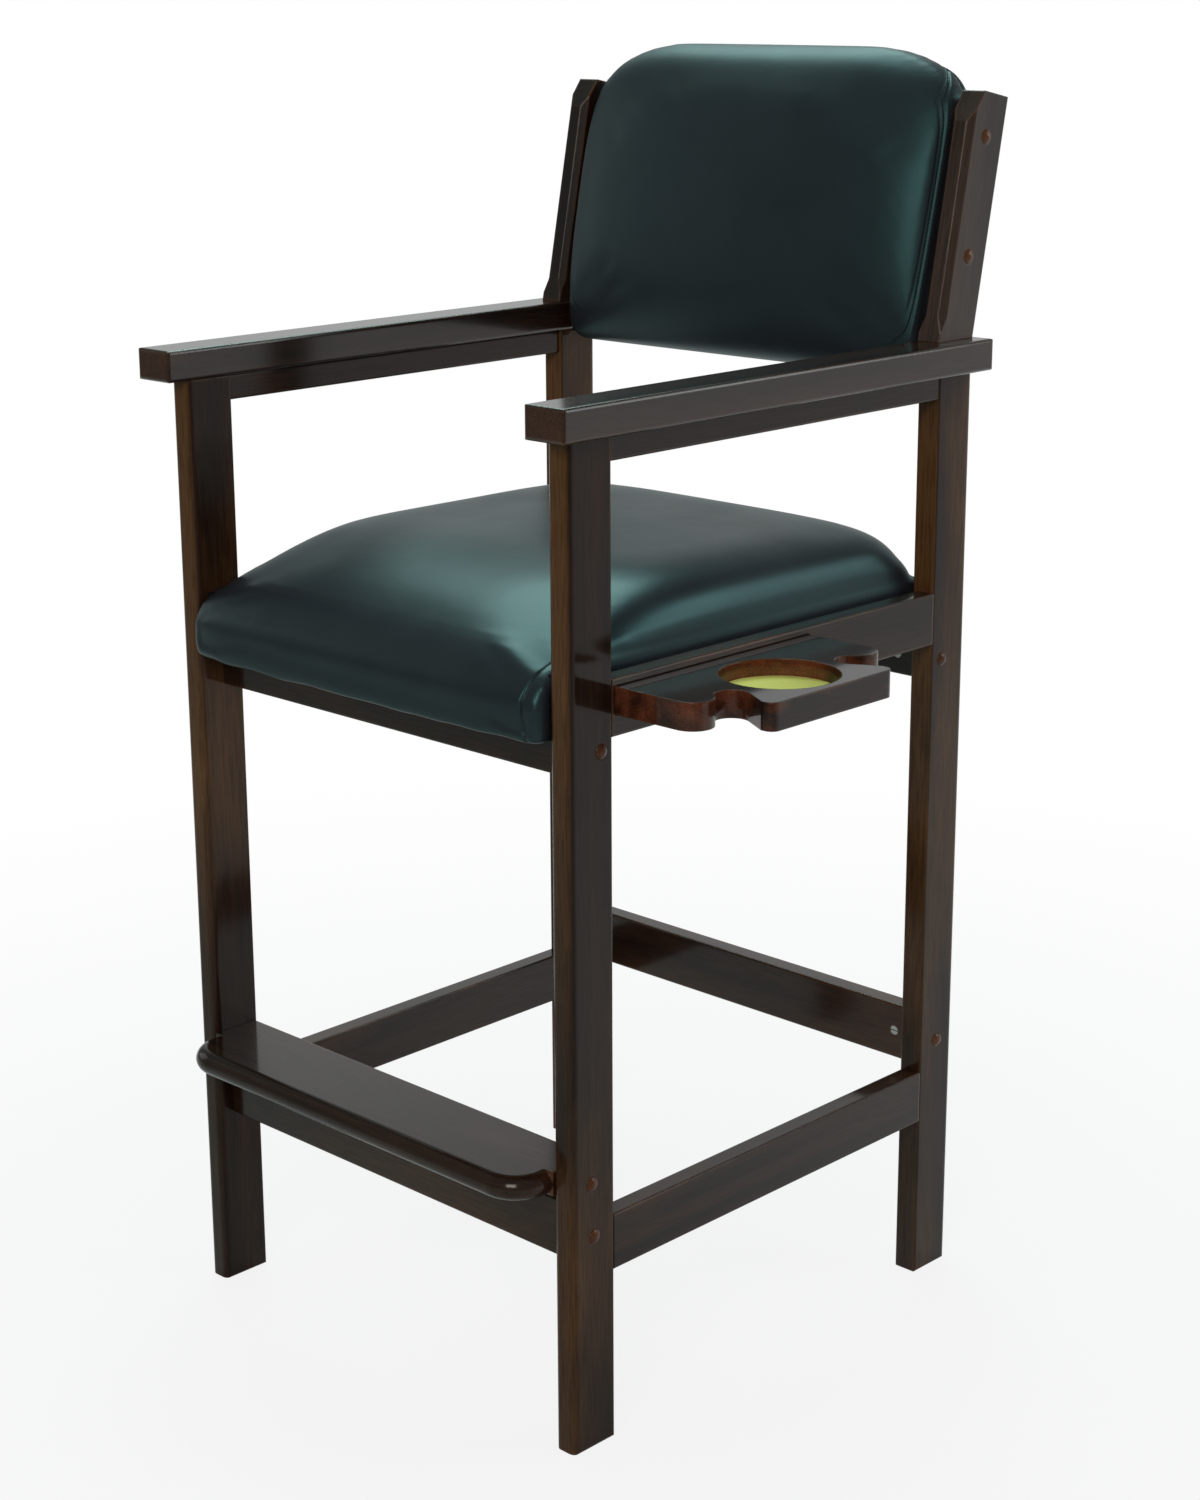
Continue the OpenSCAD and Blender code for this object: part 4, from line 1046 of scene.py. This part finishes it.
def corner_drop(x, wide, tall, half):
    """How far a rounded corner falls below the straight edge at x."""
    past = (abs(x) - half) / wide + 1
    return 0.0 if past <= 0 else tall * (1 - math.sqrt(max(0.0, 1 - past * past)))


def back_form():
    """A closed form: one rounded section after another, side to side."""
    points = []
    mid, tall = (BACK_TOP + BACK_LOW) / 2, (BACK_TOP - BACK_LOW) / 2
    half = BACK_HALF - BACK_ROOM
    for j in range(BACK_RINGS + 1):
        u = math.sin(math.radians(90 * (2 * j / BACK_RINGS - 1)))
        x = half * u
        k = across(u, SIDE_SHARE, 2.2, 0.52)
        top = BACK_TOP - corner_drop(x, ARCH, CORNER, half)
        low = BACK_LOW + corner_drop(x, LOW_CORNER, LOW_CORNER, half)
        for i in range(BACK_STEPS + 1):
            a = math.pi * i / BACK_STEPS
            c = math.cos(a)
            t = BACK_REAR - (BACK_REAR + BACK_BULGE) * k * max(0.0, math.sin(a)) ** 0.61
            s = mid + tall * math.copysign(abs(c) ** 0.736, c)
            here, full = (top, BACK_TOP) if s > mid else (low, BACK_LOW)
            points.append((x, t, mid + (s - mid) * (here - mid) / (full - mid)))
    wide = BACK_STEPS + 1
    last = BACK_RINGS * wide
    faces = grid_faces(BACK_RINGS, wide)
    faces.append(list(range(wide)))
    faces.append(list(range(last, last + wide)))
    bottom = list(range(0, last + 1, wide))
    faces.append(bottom + [at + BACK_STEPS for at in reversed(bottom)])
    return points, faces


def deeper(co, depth):
    """True further than depth behind the posts' front."""
    return (UNTIP @ co).y > depth


points, faces = back_form()
back = new_piece("back_cushion_vinyl", [tipped(p) for p in points], faces, back_vinyl)
even_skin(back, SKIN_SIZE)
relax(back, 2)
swell(back, lambda co: deeper(co, PINNED_BEHIND), SWELL_CAP)
relax(back, 3, lambda co: deeper(co, KEPT_BEHIND))
relax(back, 6, lambda co: deeper(co, KEPT_BEHIND) or abs(co.x) > KEPT_BESIDE)
print("back cushion:", len(back.data.polygons), "faces")

# %% [markdown]
# ### The side seams
#
# Where the side panels meet the front, the vinyl is pulled in and sewn twice.
# The pull is a shallow groove in the skin, with a second, fainter one under
# the stitches. It could be painted as a map, but a formula for where the seam
# runs is exact, and both the groove and the stitches can then follow it.

# %% Pull in the side seams
CORNER_AT = ((BACK_HALF - ARCH) * MM, (BACK_TOP - CORNER) * MM)
SEAM_FOOT, SEAM_SLOPE, SEAM_TURN = 0.001, 0.030, 0.036
GROOVE_DEEP, GROOVE_WIDE = 0.0030, 0.0012
SECOND_AT, SECOND_SHARE = 0.0043, 0.3
BESIDE_X, FADE_X = 0.19, 0.03
SEAM_END, SEAM_FADE = 60, 20


def around(p):
    """Angle round the top corner, in degrees; 0 on the straight side."""
    if p.z <= CORNER_AT[1]:
        return 0.0
    return math.degrees(math.atan2((p.z - CORNER_AT[1]) / (CORNER * MM),
                                   max(1e-6, (abs(p.x) - CORNER_AT[0]) / (ARCH * MM))))


def seam_depth(height, angle):
    """How far behind the posts' front the seam runs."""
    rise = max(0.0, min(height, CORNER_AT[1]))
    return SEAM_FOOT + SEAM_SLOPE * rise + SEAM_TURN * (angle / 50) ** 1.6


def outward(p):
    """Direction out of the outline at a side or corner, and its weight."""
    way = 1 if p.x > 0 else -1
    angle = around(p)
    if angle == 0:
        return Vector((way, 0, 0)), min(1.0, max(0.0, (abs(p.x) - BESIDE_X) / FADE_X))
    turn = math.radians(angle)
    out = Vector((way * math.cos(turn) / ARCH, 0, math.sin(turn) / CORNER))
    return out.normalized(), min(1.0, max(0.0, (SEAM_END - angle) / SEAM_FADE))


def past_seam(p):
    """How far a point lies behind the seam."""
    return p.y - seam_depth(p.z, around(p))


def seam_groove(piece):
    """A deep line where the panels meet, a shallow one under the stitches."""
    for v in piece.data.vertices:
        p = UNTIP @ v.co
        out, weight = outward(p)
        d = past_seam(p)
        first = math.exp(-(d / GROOVE_WIDE) ** 2)
        second = math.exp(-((d + SECOND_AT) / GROOVE_WIDE) ** 2)
        pull = GROOVE_DEEP * first + SECOND_SHARE * GROOVE_DEEP * second
        v.co = TIP_BACK @ (p - out * pull * weight)


def by_seam(co):
    """True close to the seam on either side of the cushion."""
    p = UNTIP @ co
    return abs(p.x) > BESIDE_X and -0.009 < past_seam(p) < 0.005 and p.y < 0.036


finer(back)
baked(back)
close_mesh(back, by_seam)
seam_groove(back)
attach(back, "chair")
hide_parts("back_cushion")
print("back cushion with its seams:", len(back.data.polygons), "faces")

# %% [markdown]
# ### Stitches
#
# Thread that is only drawn on looks flat from close by, so the stitches are
# real little lozenges, six-sided and thinner at their ends. We walk along the
# seam in even steps, find the nearest point on the skin and lay one down
# there, half sunk as pulled thread is.

# %% Lay the stitches
STITCH, STITCH_GAP, THREAD_R = 0.0030, 0.0014, 0.00035
LOZENGE = ((-0.5, 0.3), (-0.3, 1.0), (0.3, 1.0), (0.5, 0.3))
SIDES = 6
SEAM_X, ROW_OFFSETS = 241, (-4.3, 3.8)


def lozenge(centre, along, skin):
    """The points of one stitch, ring by ring, laid on the skin."""
    hit, normal, _, _ = skin.find_nearest(centre)
    side = normal.cross(along).normalized()
    base = hit + normal * THREAD_R * 0.4
    points = []
    for f, r in LOZENGE:
        for q in range(SIDES):
            angle = math.pi * q / 3
            points.append(base + along * STITCH * f
                          + (side * math.cos(angle) + normal * math.sin(angle)) * THREAD_R * r)
    return points


def lozenge_faces(first):
    """The faces of one stitch whose points start at first."""
    rings = len(LOZENGE) - 1
    faces = []
    for start in range(first, first + rings * SIDES, SIDES):
        for q in range(SIDES):
            a, b = start + q, start + (q + 1) % SIDES
            faces.append((a, b, b + SIDES, a + SIDES))
    for start in (first, first + rings * SIDES):
        faces.append(list(range(start, start + SIDES)))
    return faces


def stitches(name, path, skin):
    """A row of stitches at even steps along a path."""
    points, faces = [], []
    reach = 0.0
    for a, b in zip(path, path[1:]):
        span = (b - a).length
        while reach < span:
            faces += lozenge_faces(len(points))
            points += lozenge(a + (b - a) * (reach / span), (b - a).normalized(), skin)
            reach += STITCH + STITCH_GAP
        reach -= span
    return new_piece(name, points, faces, thread)


def seam_path(side, offset):
    """Points along one row: up the side, then round the top corner."""
    path = [(side * SEAM_X, h, 0) for h in range(-30, 228, 6)]
    path += [(side * (CORNER_AT[0] * 1000 + (ARCH + 1) * math.cos(math.radians(a))),
              CORNER_AT[1] * 1000 + (CORNER + 1) * math.sin(math.radians(a)), a)
             for a in range(2, 50, 4)]
    return [tipped((x, seam_depth(h * MM, a) * 1000 + offset, h)) for x, h, a in path]


skin = BVHTree.FromObject(back, bpy.context.evaluated_depsgraph_get())
for side, label in ((-1, "left"), (1, "right")):
    for row, offset in enumerate(ROW_OFFSETS):
        piece = stitches("back_stitches_%s_%d" % (label, row), seam_path(side, offset), skin)
        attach(piece, "chair")
        print(piece.name, len(piece.data.polygons) // len(lozenge_faces(0)), "stitches")

# %% [markdown]
# ## The rear cover
#
# The staples and raw edges at the rear are hidden under a thin padded panel
# with rounded top corners. It is too flat to need cloth: a grid whose points
# lie closer together near the edges is enough for its crown and soft edge.

# %% Rear cover panel
COVER_HALF, COVER_LOW, COVER_TOP = 238.3, -29.5, 272.6
COVER_ROUND, COVER_LOW_ROUND = 56.5, 10
COVER_COLS, COVER_ROWS = 48, 34
COVER_INNER, COVER_OUTER = 38.2, 38.3
COVER_EDGE, COVER_CROWN = 3.5, 8.8


def cover_point(i, j):
    """A point on the crowned outer face, closer together near the edges."""
    u = math.sin(math.pi / 2 * (2 * i / COVER_COLS - 1))
    v = math.sin(math.pi / 2 * (2 * j / COVER_ROWS - 1))
    x = COVER_HALF * u
    s0 = (COVER_LOW + COVER_TOP) / 2 + (COVER_TOP - COVER_LOW) / 2 * v
    top = COVER_TOP - corner_drop(x, COVER_ROUND, COVER_ROUND, COVER_HALF)
    low = COVER_LOW + corner_drop(x, COVER_LOW_ROUND, COVER_LOW_ROUND, COVER_HALF)
    s = low + (s0 - COVER_LOW) / (COVER_TOP - COVER_LOW) * (top - low)
    lift = COVER_EDGE + COVER_CROWN * max(0.0, 1 - max(abs(u), abs(v)) ** 9) ** 0.45
    return tipped((x, COVER_OUTER + lift, s))


def rear_cover():
    """The crowned face, a flat one behind it and the rim between them."""
    outer = [cover_point(i, j) for j in range(COVER_ROWS + 1) for i in range(COVER_COLS + 1)]
    level = [UNTIP @ p for p in outer]
    inner = [TIP_BACK @ Vector((p.x, COVER_INNER * MM, p.z)) for p in level]
    faces = []
    n, w = len(outer), COVER_COLS + 1
    for j in range(COVER_ROWS):
        for a in range(j * w, j * w + COVER_COLS):
            faces.append((a, a + 1, a + w + 1, a + w))
            faces.append((n + a, n + a + w, n + a + w + 1, n + a + 1))
    for i in range(COVER_COLS):
        a = COVER_ROWS * w + i
        faces.append((i, n + i, n + i + 1, i + 1))
        faces.append((a, a + 1, n + a + 1, n + a))
    for a in range(0, COVER_ROWS * w, w):
        b, c, d = a + w, a + COVER_COLS, a + w + COVER_COLS
        faces.append((a, b, n + b, n + a))
        faces.append((c, n + c, n + d, d))
    return new_piece("back_cover_vinyl", outer + inner, faces, back_vinyl)


cover = rear_cover()
finer(cover)
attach(cover, "chair")
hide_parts("back_cover")
print("rear cover:", len(cover.data.polygons), "faces")
